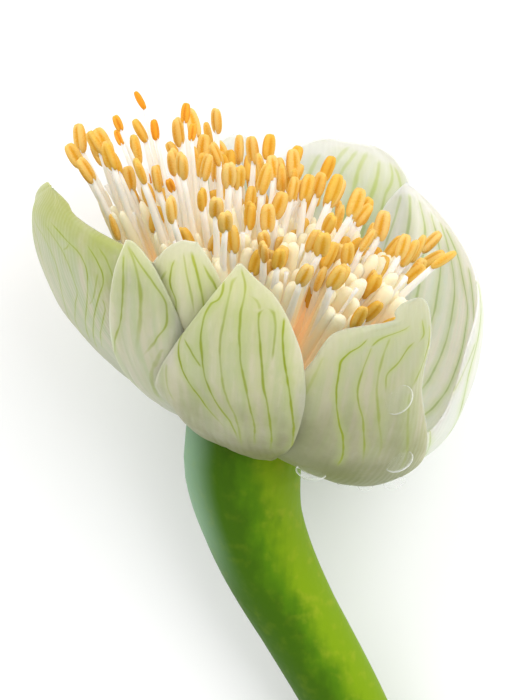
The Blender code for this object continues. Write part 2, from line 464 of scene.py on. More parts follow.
def closed_group(sheet: Sheet, outputs: dict) -> NodeTree:
    """Give a group its outputs and join its results to them.

    Args:
        sheet: The group's sheet.
        outputs: Sockets by output name.

    Returns:
        The group.
    """
    for label in outputs:
        sheet.tree.interface.new_socket(name=label, in_out="OUTPUT", socket_type="NodeSocketFloat")
    sheet.fill(sheet.tree.nodes.new("NodeGroupOutput"), outputs)
    return sheet.tree


def vein_group() -> NodeTree:
    """One vein of a bract: a thin wavering line up it, and the soft green stain round the line.

    Returns:
        The group, with the outputs Line and Stain, both from 0 to 1.
    """
    inputs = ("Degrees", "Degree Size", "Along", "Place", "Ahead")
    inputs += ("Start", "Stop", "Fade", "Width", "Waver", "Seed")
    sheet, got = new_group("Vein", inputs)
    seed = sheet.times(got["Seed"], VEIN_SEED_STEP)
    slow, strong = [
        sheet.put(
            "ShaderNodeTexNoise",
            {"W": sheet.varied(seed, got["Along"], pitch), "Scale": 1.0, "Detail": 2.0},
            noise_dimensions="1D",
        )
        for pitch in VEIN_PITCHES
    ]
    middle = sheet.varied(got["Place"], sheet.minus(slow, 0.5), got["Waver"])
    away = sheet.times(sheet.sum("ABSOLUTE", sheet.minus(got["Degrees"], middle)), got["Degree Size"])
    step = sheet.times(sheet.minus(got["Ahead"], got["Place"]), got["Degree Size"])
    slope = sheet.sum("DIVIDE", step, VEIN_STEP * BRACT_LENGTH)
    away = sheet.times(away, sheet.sum("INVERSE_SQRT", sheet.varied(1.0, slope, slope)))
    width = sheet.times(got["Width"], sheet.ramp(strong, 0.3, 0.7, 0.75, 1.15))
    line = sheet.ramp(away, sheet.times(width, VEIN_CORE), width, 1.0, 0.0)
    stain = sheet.ramp(away, 0.0, sheet.times(width, VEIN_HALO), 1.0, 0.0)
    rise = sheet.ramp(got["Along"], got["Start"], sheet.sum("ADD", got["Start"], got["Fade"]))
    fall = sheet.ramp(got["Along"], sheet.minus(got["Stop"], VEIN_END), got["Stop"], 1.0, 0.0)
    shown = sheet.times(rise, fall)
    line = sheet.times(sheet.times(line, shown), sheet.ramp(strong, 0.25, 0.6, 0.7, 1.0))
    return closed_group(sheet, {"Line": line, "Stain": sheet.times(stain, shown)})


def tissue_group() -> NodeTree:
    """Uneven plant tissue: cloudy patches and fine cells, as numbers round 0.

    Returns:
        The group, with the outputs Cloud and Cell.
    """
    sheet, got = new_group("Tissue", ("Cloud Scale", "Cell Scale"))
    place = sheet.put("ShaderNodeTexCoord", {}, "Object")
    cloud = sheet.noise(place, got["Cloud Scale"], 4.0, 0.55)
    cell = sheet.put("ShaderNodeTexVoronoi", {"Vector": place, "Scale": got["Cell Scale"]}, "Distance")
    return closed_group(sheet, {"Cloud": sheet.minus(cloud, 0.5), "Cell": sheet.minus(cell, 0.4)})


def new_material(name: str, constants: dict) -> tuple[Material, Sheet, Node]:
    """A material with a Principled shader.

    Args:
        name: The material's name.
        constants: Values set on the shader's own sockets.

    Returns:
        The material, the sheet of its nodes and the shader node.
    """
    material = bpy.data.materials.new(name)
    material.use_nodes = True
    sheet = Sheet(material.node_tree)
    return material, sheet, sheet.fill(material.node_tree.nodes["Principled BSDF"], constants)


@dataclass(frozen=True)
class Vein:
    """One vein of a bract, through points given as shares up the bract and degrees from its middle."""

    path: Pairs
    strength: float = 0.9
    fade: float = 0.14
    waver: float = 0.7
    width: float = 1.0
    seed: float = 0.0


@dataclass(frozen=True)
class BractFinish:
    """Thick pale tissue, beige and grey green in soft stripes, with green veins that fade at the base.

    Going up, the colour turns from foot into the stripes of body and green over the shares in rise, and
    into tip over those in tip_rise. Where the foot is dark, it is painted shade over the bract's lower part.
    The inner face glows with painted light that stands in for light coming through the bract. The outer one
    takes a part, backed, of the colour back, the darker colour that it keeps where the inner face is painted
    brighter. The reliefs are how much cells, veins, ridges and stripes stand out.
    """

    # A dark foot, like this one of the front bracts, is painted shade over a bract's lower part.
    foot: Colour = (0.19, 0.19, 0.075)
    body: Colour = (0.535, 0.515, 0.365)
    green: Colour = (0.44, 0.475, 0.27)
    tip: Colour = (0.43, 0.45, 0.24)
    line: Colour = (0.24, 0.30, 0.008)
    stain: Colour = (0.37, 0.44, 0.14)
    # Painted light: an emission from the inner face that stands in for light coming through the bract.
    painted_glow: Colour = (0.0, 0.0, 0.0)
    back: Colour = (0.42, 0.44, 0.30)
    backed: float = 0.0
    vein_width: float = 0.00020
    stained: float = 0.45
    rise: tuple[float, float] = (0.28, 0.80)
    tip_rise: tuple[float, float] = (0.80, 1.02)
    cloud_scale: float = 180.0
    cell_scale: float = 3200.0
    stripe_pitch: float = 0.21
    ridge_pitch: float = 0.0008
    reliefs: tuple[float, float, float, float] = (0.2, -0.6, 0.30, 1.5)

    def draw_veins(self, sheet: Sheet, veins: Sequence[Vein]) -> list[object]:
        """Draw every vein.

        Args:
            sheet: Where to draw.
            veins: The bract's veins.

        Returns:
            Masks of the veins' lines and of the stain round them.
        """
        degrees, size, along = sheet.read("degrees"), sheet.read("degree_size"), sheet.read("along")
        ahead = sheet.sum("ADD", along, VEIN_STEP)
        masks: list[object] = [0.0, 0.0]
        for vein in veins:
            inputs = {
                "Degrees": degrees,
                "Degree Size": size,
                "Along": along,
                "Place": sheet.follow(along, vein.path, VEIN_SPAN),
                "Ahead": sheet.follow(ahead, vein.path, VEIN_SPAN),
                "Start": vein.path[0][0],
                "Stop": vein.path[-1][0],
                "Fade": vein.fade,
                "Width": self.vein_width * vein.width,
                "Waver": vein.waver,
                "Seed": vein.seed,
            }
            drawn = [sheet.times(mask, vein.strength) for mask in sheet.group(GROUPS["vein"], inputs)]
            masks = [sheet.sum("MAXIMUM", *pair) for pair in zip(masks, drawn)]
        return masks

    def build(self, name: str, veins: Sequence[Vein]) -> Material:
        """The material of one bract.

        Args:
            name: The material's name.
            veins: The bract's veins.

        Returns:
            The material. It reads the attributes degrees, degree_size, along and inner.
        """
        constants = {
            "Roughness": 0.42,
            "Subsurface Weight": 0.85,
            "Subsurface Radius": (1.0, 1.0, 0.8),
            "Subsurface Scale": 0.0025,
            "Specular IOR Level": 0.3,
            "Emission Strength": 1.0,
        }
        material, sheet, shader = new_material(name, constants)
        line, stain = self.draw_veins(sheet, veins)
        degrees, along, inner = sheet.read("degrees"), sheet.read("along"), sheet.read("inner")
        cloud, cell = sheet.tissue(self.cloud_scale, self.cell_scale)
        drawn = {"X": sheet.times(degrees, self.stripe_pitch), "Y": along, "Z": cloud}
        stripe = sheet.noise(sheet.put("ShaderNodeCombineXYZ", drawn), 1.0, 3.0, 0.6)
        rising = sheet.varied(along, cloud, 0.35)
        body = sheet.mix(sheet.ramp(stripe, 0.36, 0.64), self.body, self.green)
        colour = sheet.mix(sheet.ramp(rising, *self.rise), self.foot, body)
        colour = sheet.mix(sheet.ramp(rising, *self.tip_rise), colour, self.tip)
        # The outer face turns toward back, a darker colour, so the brighter inner face is a painted lit copy.
        colour = sheet.mix(sheet.ramp(inner, 0.0, 1.0, self.backed, 0.0), colour, self.back)
        colour = sheet.mix(sheet.times(stain, self.stained), colour, self.stain)
        colour = sheet.mix(line, colour, self.line)
        around = sheet.times(degrees, sheet.read("degree_size"))
        turns = sheet.times(around, math.tau / self.ridge_pitch)
        ridge = sheet.sum("SINE", sheet.varied(turns, cloud, 9.0))
        height: object = 0.0
        for relief, amount in zip((cell, line, ridge, stripe), self.reliefs):
            height = sheet.varied(height, relief, amount)
        # Painted light: the inner face glows in place of light coming through the bract.
        painted_glow = sheet.mix(inner, (0.0, 0.0, 0.0), self.painted_glow)
        bump = sheet.bump(height, 0.35, 0.00012)
        sheet.fill(shader, {"Base Color": colour, "Emission Color": painted_glow, "Normal": bump})
        return material


@dataclass(frozen=True)
class StalkFinish:
    """Smooth green, painted shade along one side and painted light along the other, pale flecks, painted
    sheen on top.
    """

    # Painted shade and light: the first colour stands for the stalk's shaded side, the third for its lit
    # side.
    painted_shade_green: Colour = (0.046, 0.122, 0.0005)
    middle: Colour = (0.080, 0.200, 0.0008)
    painted_light_green: Colour = (0.205, 0.340, 0.003)
    fleck: Colour = (0.34, 0.40, 0.02)
    # Painted reflection: a pale blue green sheen of the white surroundings.
    painted_sheen: Colour = (0.25, 0.40, 0.26)
    cut: Colour = (0.50, 0.62, 0.28)
    cloud_scale: float = 210.0
    cell_scale: float = 1500.0
    streak_scale: tuple[float, float, float] = (900.0, 120.0, 900.0)
    fleck_scale: float = 700.0
    strand_scale: float = 1100.0
    sheen_rise: tuple[float, float] = (0.60, 0.82)

    def build(self, name: str) -> Material:
        """The material of the stalk.

        Args:
            name: The material's name.

        Returns:
            The material. It reads the attributes side, rise and cut.
        """
        constants = {
            "Roughness": 0.5,
            "Subsurface Weight": 0.12,
            "Subsurface Radius": (0.6, 1.0, 0.2),
            "Subsurface Scale": 0.0015,
            "Specular IOR Level": 0.10,
        }
        material, sheet, shader = new_material(name, constants)
        side = sheet.read("side")
        cloud, cell = sheet.tissue(self.cloud_scale, self.cell_scale)
        place = sheet.put("ShaderNodeTexCoord", {}, "Object")
        drawn = sheet.put("ShaderNodeMapping", {"Vector": place, "Scale": self.streak_scale})
        streak = sheet.minus(sheet.noise(drawn, 1.0, 3.0), 0.5)
        # Painted shade and light across the stalk, from its dark side to its bright one.
        shifted = sheet.varied(sheet.varied(side, cloud, 0.8), streak, 0.45)
        colour = sheet.mix(sheet.ramp(shifted, -0.25, 0.22), self.painted_shade_green, self.middle)
        colour = sheet.mix(sheet.ramp(shifted, 0.10, 0.70), colour, self.painted_light_green)
        # Painted reflection on the upper part: pale along the dark side, and at the rims below.
        sheen_share = sheet.ramp(sheet.read("rise"), *self.sheen_rise)
        edge = sheet.ramp(side, -0.40, -1.0, 0.0, 0.9)
        colour = sheet.mix(sheet.times(edge, sheen_share), colour, self.painted_sheen)
        fleck = sheet.ramp(sheet.noise(place, self.fleck_scale, 2.0), 0.50, 0.80, 0.0, 0.45)
        # The flecks show more toward the painted lit side.
        fleck = sheet.times(fleck, sheet.ramp(side, -0.1, 0.6, 0.2, 1.0))
        colour = sheet.mix(fleck, colour, self.fleck)
        # Layer Weight paints the reflection into the colour where the stalk turns away.
        facing = sheet.put("ShaderNodeLayerWeight", {"Blend": 0.30}, "Facing")
        painted_rim = sheet.ramp(facing, 0.62, 1.0, 0.0, 0.6)
        colour = sheet.mix(sheet.times(painted_rim, sheen_share), colour, self.painted_sheen)
        strand = sheet.put("ShaderNodeTexVoronoi", {"Vector": place, "Scale": self.strand_scale}, "Distance")
        flesh = sheet.mix(sheet.ramp(strand, 0.12, 0.30, 0.65, 0.0), self.cut, self.middle)
        colour = sheet.mix(sheet.read("cut"), colour, flesh)
        bump = sheet.bump(sheet.varied(streak, cell, 0.3), 0.3, 0.0002)
        sheet.fill(shader, {"Base Color": colour, "Normal": bump})
        return material


@dataclass(frozen=True)
class StemFinish:
    """Pale see-through tissue that goes from one colour at the foot to another at the top, with a painted
    glow.
    """

    foot: Colour
    top: Colour
    turn: tuple[float, float]
    # Painted light: an emission that fills the shade deep in the brush with warm light, most at the foot.
    painted_glow: Colour = (0.17, 0.135, 0.085)
    painted_top_glow: Colour = (0.060, 0.052, 0.034)
    cloud_scale: float = 260.0
    cell_scale: float = 4000.0

    def build(self, name: str) -> Material:
        """The material of tepals, or of filaments and styles.

        Args:
            name: The material's name.

        Returns:
            The material. It reads the attribute height.
        """
        constants = {
            "Roughness": 0.5,
            "Specular IOR Level": 0.3,
            "Subsurface Weight": 0.6,
            "Subsurface Radius": (1.0, 0.8, 0.6),
            "Subsurface Scale": 0.0012,
            "Emission Strength": 1.0,
        }
        material, sheet, shader = new_material(name, constants)
        cloud, cell = sheet.tissue(self.cloud_scale, self.cell_scale)
        risen = sheet.ramp(sheet.varied(sheet.read("height"), cloud, 0.35), *self.turn)
        colour = sheet.mix(risen, self.foot, self.top)
        # Painted light: the glow falls away from the foot to the top.
        painted_glow = sheet.mix(risen, self.painted_glow, self.painted_top_glow)
        bump = sheet.bump(cell, 0.15, 0.0001)
        sheet.fill(shader, {"Base Color": colour, "Emission Color": painted_glow, "Normal": bump})
        return material


@dataclass(frozen=True)
class AntherFinish:
    """Powdery anther: pale lobes with a saturated seam down the middle of each, partly painted shade, and
    painted shade along the edges.
    """

    lobe: Colour
    ripe: Colour
    # Saturated colour, partly the anther's own seam and partly painted shade in the furrow, and painted shade
    # on the outer edges.
    seam_and_shade: Colour
    cloud_scale: float = 900.0
    cell_scale: float = 6500.0

    def build(self, name: str) -> Material:
        """The material of the anthers of one age.

        Args:
            name: The material's name.

        Returns:
            The material. It reads the attributes groove and shade.
        """
        constants = {"Roughness": 0.75, "Subsurface Weight": 0.10, "Subsurface Scale": 0.0006}
        material, sheet, shader = new_material(name, constants)
        cloud, cell = sheet.tissue(self.cloud_scale, self.cell_scale)
        shade = sheet.varied(sheet.read("shade"), cloud, 0.8)
        groove = sheet.varied(sheet.read("groove"), cell, 0.35)
        colour = sheet.mix(sheet.ramp(shade, 0.0, 1.0), self.lobe, self.ripe)
        # The seam colour: partly painted shade in the furrow, and painted shade along the outer edges.
        colour = sheet.mix(sheet.ramp(groove, 0.25, 0.95), colour, self.seam_and_shade)
        sheet.fill(shader, {"Base Color": colour, "Normal": sheet.bump(cell, 0.5, 0.00012)})
        return material


@dataclass(frozen=True)
class WaterFinish:
    """A clear bead: almost nothing where it is seen face on, and a painted white reflection where it turns
    away.
    """

    face: float = 0.05
    painted_rim: float = 0.80
    turn: tuple[float, float] = (0.50, 0.92)
    gloss: tuple[float, float] = (0.02, 0.08)
    cloud_scale: float = 300.0
    cell_scale: float = 2000.0

    def build(self, name: str) -> Material:
        """The material of the beads, with faint ripples in its gloss.

        Args:
            name: The material's name.

        Returns:
            The material.
        """
        # The white base colour is a painted reflection, shown where the bead turns away.
        constants = {"Base Color": (0.96, 0.98, 0.95, 1.0), "IOR": 1.33, "Specular IOR Level": 1.0}
        material, sheet, shader = new_material(name, constants)
        cloud, _ = sheet.tissue(self.cloud_scale, self.cell_scale)
        facing = sheet.put("ShaderNodeLayerWeight", {"Blend": 0.5}, "Facing")
        gloss = sheet.ramp(cloud, -0.3, 0.3, *self.gloss)
        # Alpha follows Layer Weight, so the painted white reflection shows at the rim.
        sheet.fill(shader, {"Roughness": gloss, "Alpha": sheet.ramp(facing, *self.turn, self.face, self.painted_rim)})
        return material


# ---------------------------------------------------------------------------------------- sub-assemblies


@dataclass(frozen=True)
class Stalk:
    """The fleshy stalk with its cut face, its neck and the dome that the flowers stand on."""

    path: tuple = (
        (0.0, 0.0, 0.0),
        (0.0003, 0.0, -0.012),
        (0.006, 0.0, -0.020),
        (0.0235, 0.0, -0.036),
        (0.022, -0.0025, -0.055),
    )
    radii: tuple = (
        (0.0, 0.00652), (0.06, 0.00620), (0.14, 0.00570), (0.40, 0.00480), (0.65, 0.00440), (1.0, 0.00425),
    )
    start: float = 0.080
    neck_radius: float = 0.0065
    neck_top: float = 0.00237
    neck_foot: float = -0.0022
    dome_curve: float = 0.0095
    sides: int = 40
    path_rings: int = 56
    dome_rings: int = 7
    rib_height: float = 0.010
    furrow_depth: float = 0.006
    end_insets: tuple = (0.06, 0.30, 0.30)
    cut_reach: float = 0.96
    cut_swell: float = 0.00025

    @property
    def crown(self) -> float:
        """Height of the centre of the dome's curve."""
        return self.neck_top - math.sqrt(self.dome_curve**2 - self.neck_radius**2)

    def rings(self) -> list[tuple[Vector, Matrix, float]]:
        """The rings of the stalk, from the cut up to the top of the dome.

        Returns:
            Centre, turn and radius of each ring.
        """
        found = []
        for step in range(self.path_rings):
            share = 1.0 - step / (self.path_rings - 1)
            place = blend(self.start, 1.0, share)
            centre = bezier(self.path, place)
            turned = turned_to(bezier(self.path, place - 0.01) - centre)
            found.append((centre, turned, looked_up(self.radii, share)))
        level = Matrix.Identity(3)
        found.append((UP * self.neck_foot, level, self.neck_radius))
        edge = math.asin(self.neck_radius / self.dome_curve)
        for step in range(self.dome_rings):
            angle = edge * (1.0 - step / self.dome_rings)
            centre = UP * (self.crown + self.dome_curve * math.cos(angle))
            found.append((centre, level, self.dome_curve * math.sin(angle)))
        return found

    def ring_ends(self, stalk: Object) -> None:
        """Cut both end faces into rings round a middle point.

        Args:
            stalk: The straight blank.
        """
        bpy.ops.object.mode_set(mode="EDIT")
        bpy.ops.mesh.select_mode(type="FACE")
        bpy.ops.mesh.select_all(action="DESELECT")
        bpy.ops.object.mode_set(mode="OBJECT")
        for face in stalk.data.polygons:
            face.select = abs(face.normal.z) > 0.9
        bpy.ops.object.mode_set(mode="EDIT")
        for width in self.end_insets:
            bpy.ops.mesh.inset(thickness=width, depth=0.0)
        bpy.ops.mesh.poke()
        bpy.ops.mesh.select_mode(type="VERT")
        bpy.ops.object.mode_set(mode="OBJECT")

    def ribbed(self, angle: float, level: int) -> float:
        """The factor on the radius that gives the stalk its soft ribs and furrows."""
        ribs = self.rib_height * math.sin(3 * angle + 0.6 * level / 10)
        return 1.0 + ribs + self.furrow_depth * math.sin(7 * angle + 2.0)

    def build(self) -> Object:
        """Model the stalk and dress it.

        Returns:
            The stalk.
        """
        rings = self.rings()
        last = len(rings) - 1
        stalk = rod_blank("stalk", self.sides, [step / last for step in range(last + 1)])
        self.ring_ends(stalk)
        sides, cuts, rises = [], [], []
        for vert in stalk.data.vertices:
            level = round(vert.co.z * last)
            centre, turned, radius = rings[level]
            reach = math.hypot(vert.co.x, vert.co.y)
            ribs = self.ribbed(math.atan2(vert.co.y, vert.co.x), level)
            spoke = Vector((vert.co.x * ribs, vert.co.y * ribs, 0.0)) * radius
            cut = level == 0 and reach < self.cut_reach
            if cut:
                spoke.z = self.cut_swell * math.sqrt(1.0 - reach)
            sides.append(vert.co.x)
            cuts.append(float(cut))
            rises.append(level / last)
            vert.co = centre + turned @ spoke
        write_attributes(stalk.data, side=sides, cut=cuts, rise=rises)
        return settle(stalk, StalkFinish().build("stalk"), "scape", "scape")


@dataclass(frozen=True)
class Cup:
    """The wall that every bract is a patch of: a cubic meridian that changes round the head.

    The two meridians are control points (radius, height) on the head's right and left. The keels are the
    azimuths in degrees of the bracts' middles, where the wall stands out.
    """

    right: tuple = ((0.0068, -0.0008), (0.0240, -0.0110), (0.0318, 0.0065), (0.0247, 0.0335))
    left: tuple = ((0.0068, -0.0008), (0.0140, 0.0030), (0.0245, 0.0080), (0.0290, 0.0305))
    crease_ease: float = 0.10
    base_raise: float = 0.0024
    front_raise: float = 0.0058
    raise_turn: float = math.radians(25)
    raise_power: float = 3.0
    lying_depth: float = 0.0178
    lying_ease: float = 0.0014
    layer_step: float = 0.00125
    square_from: float = 0.2
    keel_height: float = 0.0008
    keel_spread: float = math.radians(15)
    probe: float = 0.002
    keels: tuple = (185, -124, -106, -96, -68, 8, 66.5, 112, 131)

    def left_share(self, azimuth: float) -> float:
        """How much of the left meridian the wall takes at an azimuth.

        Args:
            azimuth: Angle round the head.

        Returns:
            Near 0 on the head's right side, with no crease there, and 1 on its far left.
        """
        share = abs(math.sin(azimuth / 2.0))
        if share >= self.crease_ease:
            return share
        return share**2 / (2.0 * self.crease_ease) + self.crease_ease / 2.0

    def keel(self, azimuth: float) -> float:
        """How far the wall stands out, most at each bract's middle."""
        away = [math.remainder(azimuth - math.radians(middle), math.tau) for middle in self.keels]
        return self.keel_height * max(math.exp(-((turn / self.keel_spread) ** 2)) for turn in away)

    def pressed_back(self, depth: float) -> float:
        """How far the wall gives way where it would sink past the plane that the head lies on.

        Args:
            depth: How far a point lies below the head's axis.

        Returns:
            How far to move it up.
        """
        start = self.lying_depth - self.lying_ease
        if depth <= start:
            return 0.0
        return depth - self.lying_depth + self.lying_ease * math.exp((start - depth) / self.lying_ease)

    def point(self, azimuth: float, up: float) -> Vector:
        """A point of the wall.

        Args:
            azimuth: Angle round the head.
            up: Share of the way up the meridian.

        Returns:
            The point.
        """
        share = self.left_share(azimuth)
        raised = ((1.0 - math.sin(azimuth + self.raise_turn)) / 2.0) ** self.raise_power
        pairs = zip(self.right, self.left)
        meridian = [[blend(*ends, share) for ends in zip(right, left)] for right, left in pairs]
        meridian[0][1] += self.base_raise * raised
        meridian[1][1] += self.front_raise * raised
        radius, height = bezier(meridian, up)
        radius += self.keel(azimuth) * math.sin(math.pi * min(up, 1.0))
        point = polar(azimuth, radius, height)
        return point - DOWNWARD * self.pressed_back(point.dot(DOWNWARD))

    def normal(self, azimuth: float, up: float) -> Vector:
        """The wall's outward direction.

        Args:
            azimuth: Angle round the head.
            up: Share of the way up the meridian.

        Returns:
            A direction of length 1.
        """
        along = self.point(azimuth, up + self.probe) - self.point(azimuth, up - self.probe)
        around = self.point(azimuth + self.probe, up) - self.point(azimuth - self.probe, up)
        return around.cross(along).normalized()

    def shift(self, out: Vector, up: float, layer: float) -> Vector:
        """The step from the wall to a layer: upright at the neck, square to the wall above it.

        Args:
            out: The wall's outward direction.
            up: Share of the way up the meridian.
            layer: The layer, below 0 inside the wall.

        Returns:
            The step.
        """
        ease = min(1.0, up / self.square_from)
        way = Vector((out.x * ease, out.y * ease, out.z)).normalized()
        return way * self.layer_step * layer / way.dot(out)


@dataclass(frozen=True)
class Bract:
    """One thick veined bract, a patch of the cup's wall that narrows to a tip which curls inwards.

    Attributes:
        azimuth: Degrees round the head of its middle line at the base.
        half_angle: Degrees from the middle line to a margin, where no outline is given.
        reach: How far up the cup's meridian its tip comes.
        layer: Its place among the overlapping bracts, outwards.
        turn: Degrees that its tip swings round the head.
        curl: How far its upper part leans inwards, in metres.
        bluntness: How round its tip is, where no outline is given.
        veins: Its veins, or nothing for veins drawn by chance.
        left: Its left outline, as shares up it and degrees from its middle line.
        right: Its right outline.
        hook: How far its very tip hooks inwards and down, in metres.
        bulge: How far it swells out on its right, in metres.
    """

    name: str
    azimuth: float
    half_angle: float
    reach: float
    layer: int
    turn: float
    curl: float
    bluntness: float
    veins: tuple[Vein, ...] = ()
    left: tuple = ()
    right: tuple = ()
    finish: BractFinish = BractFinish()
    hook: float = 0.0
    bulge: float = 0.0
    vein_count: int = 6
    seed: int = 1
    columns: int = 44
    rows: int = 72
    row_ease: float = 1.25
    swell: tuple[float, float] = (0.00030, 0.00012)
    swell_pitch: tuple[float, float, float] = (1.6, 3.0, 3.7)
    swell_step: float = 3.1
    ruffle: float = 0.00025
    ruffle_pitch: float = 17.0
    ruffle_shift: float = 1.9
    tuck: float = 0.00045
    narrow: float = math.radians(12)
    hook_start: float = 0.90
    hook_drop: float = 0.6
    widest_at: float = 0.55
    tip_cut: float = 0.995
    tip_round: float = 1.4
    curl_start: float = 0.80
    turn_power: float = 3.5
    thickness: float = 0.0010
    thinned: float = 0.78
    thin_margin: float = 0.62
    thin_tip: float = 0.84
    inner_slant: float = 0.6
    inner_ease: float = 0.15

    def spread(self, share: float, across: float) -> float:
        """The half width on one side of the middle line.

        Args:
            share: 0 at its base to 1 at its tip.
            across: Which side, below 0 for left and above 0 for right.

        Returns:
            The half width as an angle.
        """
        pairs = self.right if across > 0.0 else self.left
        if pairs:
            return math.radians(curved_up(pairs, share))
        half = math.radians(self.half_angle)
        if share <= self.widest_at:
            return half
        past = self.tip_cut * (share - self.widest_at) / (1.0 - self.widest_at)
        return half * (1.0 - past**self.bluntness) ** (self.tip_round / self.bluntness)

    def all_veins(self) -> list[Vein]:
        """The veins that the bract was given, or else wavering ones that keep to the curves of the margins.

        Returns:
            The veins.
        """
        if self.veins:
            return list(self.veins)
        chance = random.Random(self.seed)
        steps = 8
        found = []
        for index in range(self.vein_count):
            start = chance.uniform(0.10, 0.30)
            stop = chance.uniform(0.90, 0.97)
            low = blend(-0.95, 0.95, (index + 0.5) / self.vein_count) + chance.uniform(-0.04, 0.04)
            high = low + chance.uniform(-0.16, 0.16)
            path = []
            for step in range(steps + 1):
                share = blend(start, stop, step / steps)
                _, angle = self.angles(blend(low, high, step / steps), share)
                path.append((share, math.degrees(angle) - self.azimuth))
            found.append(Vein(path, chance.uniform(0.5, 0.9), 0.3, 2.6, seed=chance.uniform(0.0, 9.0)))
        return found

    def angles(self, across: float, share: float) -> tuple[float, float]:
        """Where a point of the bract lies round the head.

        Args:
            across: -1 at its left margin to 1 at its right one.
            share: 0 at its base to 1 at its tip.

        Returns:
            The half width there as an angle, and the point's azimuth.
        """
        middle = math.radians(self.azimuth + self.turn * share**self.turn_power)
        spread = self.spread(share, across)
        return spread, middle + spread * across

    def unevenness(self, across: float, share: float) -> float:
        """How far a point stands out from the wall, with the swells, the ruffled margins and the bulge.

        Args:
            across: -1 at its left margin to 1 at its right one.
            share: 0 at its base to 1 at its tip.

        Returns:
            The distance, outwards.
        """
        along = Vector([value * pitch for value, pitch in zip((across, share, self.seed), self.swell_pitch)])
        swell = self.swell[0] * noise.noise(along) + self.swell[1] * noise.noise(along * self.swell_step)
        turns = share * self.ruffle_pitch + self.seed * self.ruffle_shift + across
        waves = math.sin(turns) * self.ruffle * abs(across) ** 3
        bulge = self.bulge * math.sin(math.pi * share) ** 2 * eased(across, -0.5, 0.5)
        return swell + waves + bulge - self.tuck * abs(across) ** 5

    def place(self, cup: Cup, across: float, share: float) -> Vector:
        """A point of the bract's middle surface.

        Args:
            cup: The wall that the bract is a patch of.
            across: -1 at its left margin to 1 at its right one.
            share: 0 at its base to 1 at its tip.

        Returns:
            The point.
        """
        spread, angle = self.angles(across, share)
        up = self.reach * share
        out = cup.normal(angle, up)
        point = cup.point(angle, up) + cup.shift(out, up, self.layer)
        curled = max(0.0, share - self.curl_start) / (1.0 - self.curl_start)
        hooked = self.hook * eased(share, self.hook_start, 1.0) ** 2
        point -= polar(angle) * (self.curl * curled**2 + hooked) + UP * (hooked * self.hook_drop)
        shown = eased(share, 0.04, 0.3) * min(1.0, spread / self.narrow)
        return point + out * self.unevenness(across, share) * shown

    def build(self, cup: Cup) -> Object:
        """Model the bract and dress it.

        Args:
            cup: The wall that the bracts are patches of.

        Returns:
            The bract.
        """
        clear_selection()
        bpy.ops.mesh.primitive_grid_add(x_subdivisions=self.columns, y_subdivisions=self.rows, size=2.0)
        piece = bpy.context.object
        piece.name = f"{self.name}_skin"
        margin = piece.vertex_groups.new(name="margin")
        degrees, sizes, shares = [], [], []
        for vert in piece.data.vertices:
            across = vert.co.x
            share = 1.0 - ((1.0 - vert.co.y) / 2.0) ** self.row_ease
            _, angle = self.angles(across, share)
            wall = cup.point(angle, self.reach * share)
            degrees.append(math.degrees(angle) - self.azimuth)
            sizes.append(math.radians(math.hypot(wall.x, wall.y)))
            shares.append(share)
            vert.co = self.place(cup, across, share)
            thin = max(eased(abs(across), self.thin_margin, 1.0), eased(share, self.thin_tip, 1.0))
            margin.add([vert.index], 1.0 - self.thinned * thin, "REPLACE")
        write_attributes(piece.data, degrees=degrees, degree_size=sizes, along=shares)
        apply_modifier(piece, "SOLIDIFY", thickness=self.thickness, offset=0.0, vertex_group="margin")
        inner = []
        for vert in piece.data.vertices:
            outwards = Vector((vert.co.x, vert.co.y, 0.0)).normalized() - UP * self.inner_slant
            inner.append(eased(-vert.normal.dot(outwards), -self.inner_ease, self.inner_ease))
        write_attributes(piece.data, inner=inner)
        return settle(piece, self.finish.build(self.name, self.all_veins()), "bract", self.name)


FRONT_VEINS = (
    Vein(((0.49, 2), (0.57, -2), (0.69, -8), (0.79, -11), (0.84, -9.8), (0.92, -5)), 1.0, seed=0.4),
    Vein(((0.755, -5), (0.79, -7), (0.825, -9.8)), 0.8, 0.01, 0.2, seed=1.1),
    Vein(((0.40, 6), (0.54, 3), (0.69, -3), (0.84, -5), (0.92, -3.4), (0.93, -2), (0.97, -1)), 0.9, seed=2.2),
    Vein(((0.36, 7), (0.58, 4), (0.72, 0.4), (0.85, -0.6), (0.95, 0.6), (0.97, 1), (0.98, 2.2)),
         0.6, seed=3.1),
    Vein(((0.40, 10), (0.56, 9), (0.74, 5.2), (0.90, 3.3), (0.95, 3.9), (0.995, 2.4)), 0.8, seed=4.4),
    Vein(((0.915, 7.4), (0.93, 6.9), (0.942, 5.6), (0.947, 3.8)), 0.5, 0.01, 0.2, seed=5.0),
    Vein(((0.38, 16), (0.55, 14), (0.73, 10), (0.85, 8), (0.91, 7.2), (0.922, 8.3)), 0.9, seed=5.9),
    Vein(((0.80, 11), (0.86, 11.2), (0.90, 10.8), (0.918, 9.8), (0.924, 8)), 0.6, 0.03, 0.3, seed=6.1),
    Vein(((0.33, 22), (0.54, 20), (0.70, 16.6), (0.81, 14), (0.88, 12.8), (0.905, 12.9)), 1.0, seed=7.3),
    Vein(((0.58, -13), (0.66, -15), (0.73, -14.5)), 0.35, 0.04, seed=8.2),
)

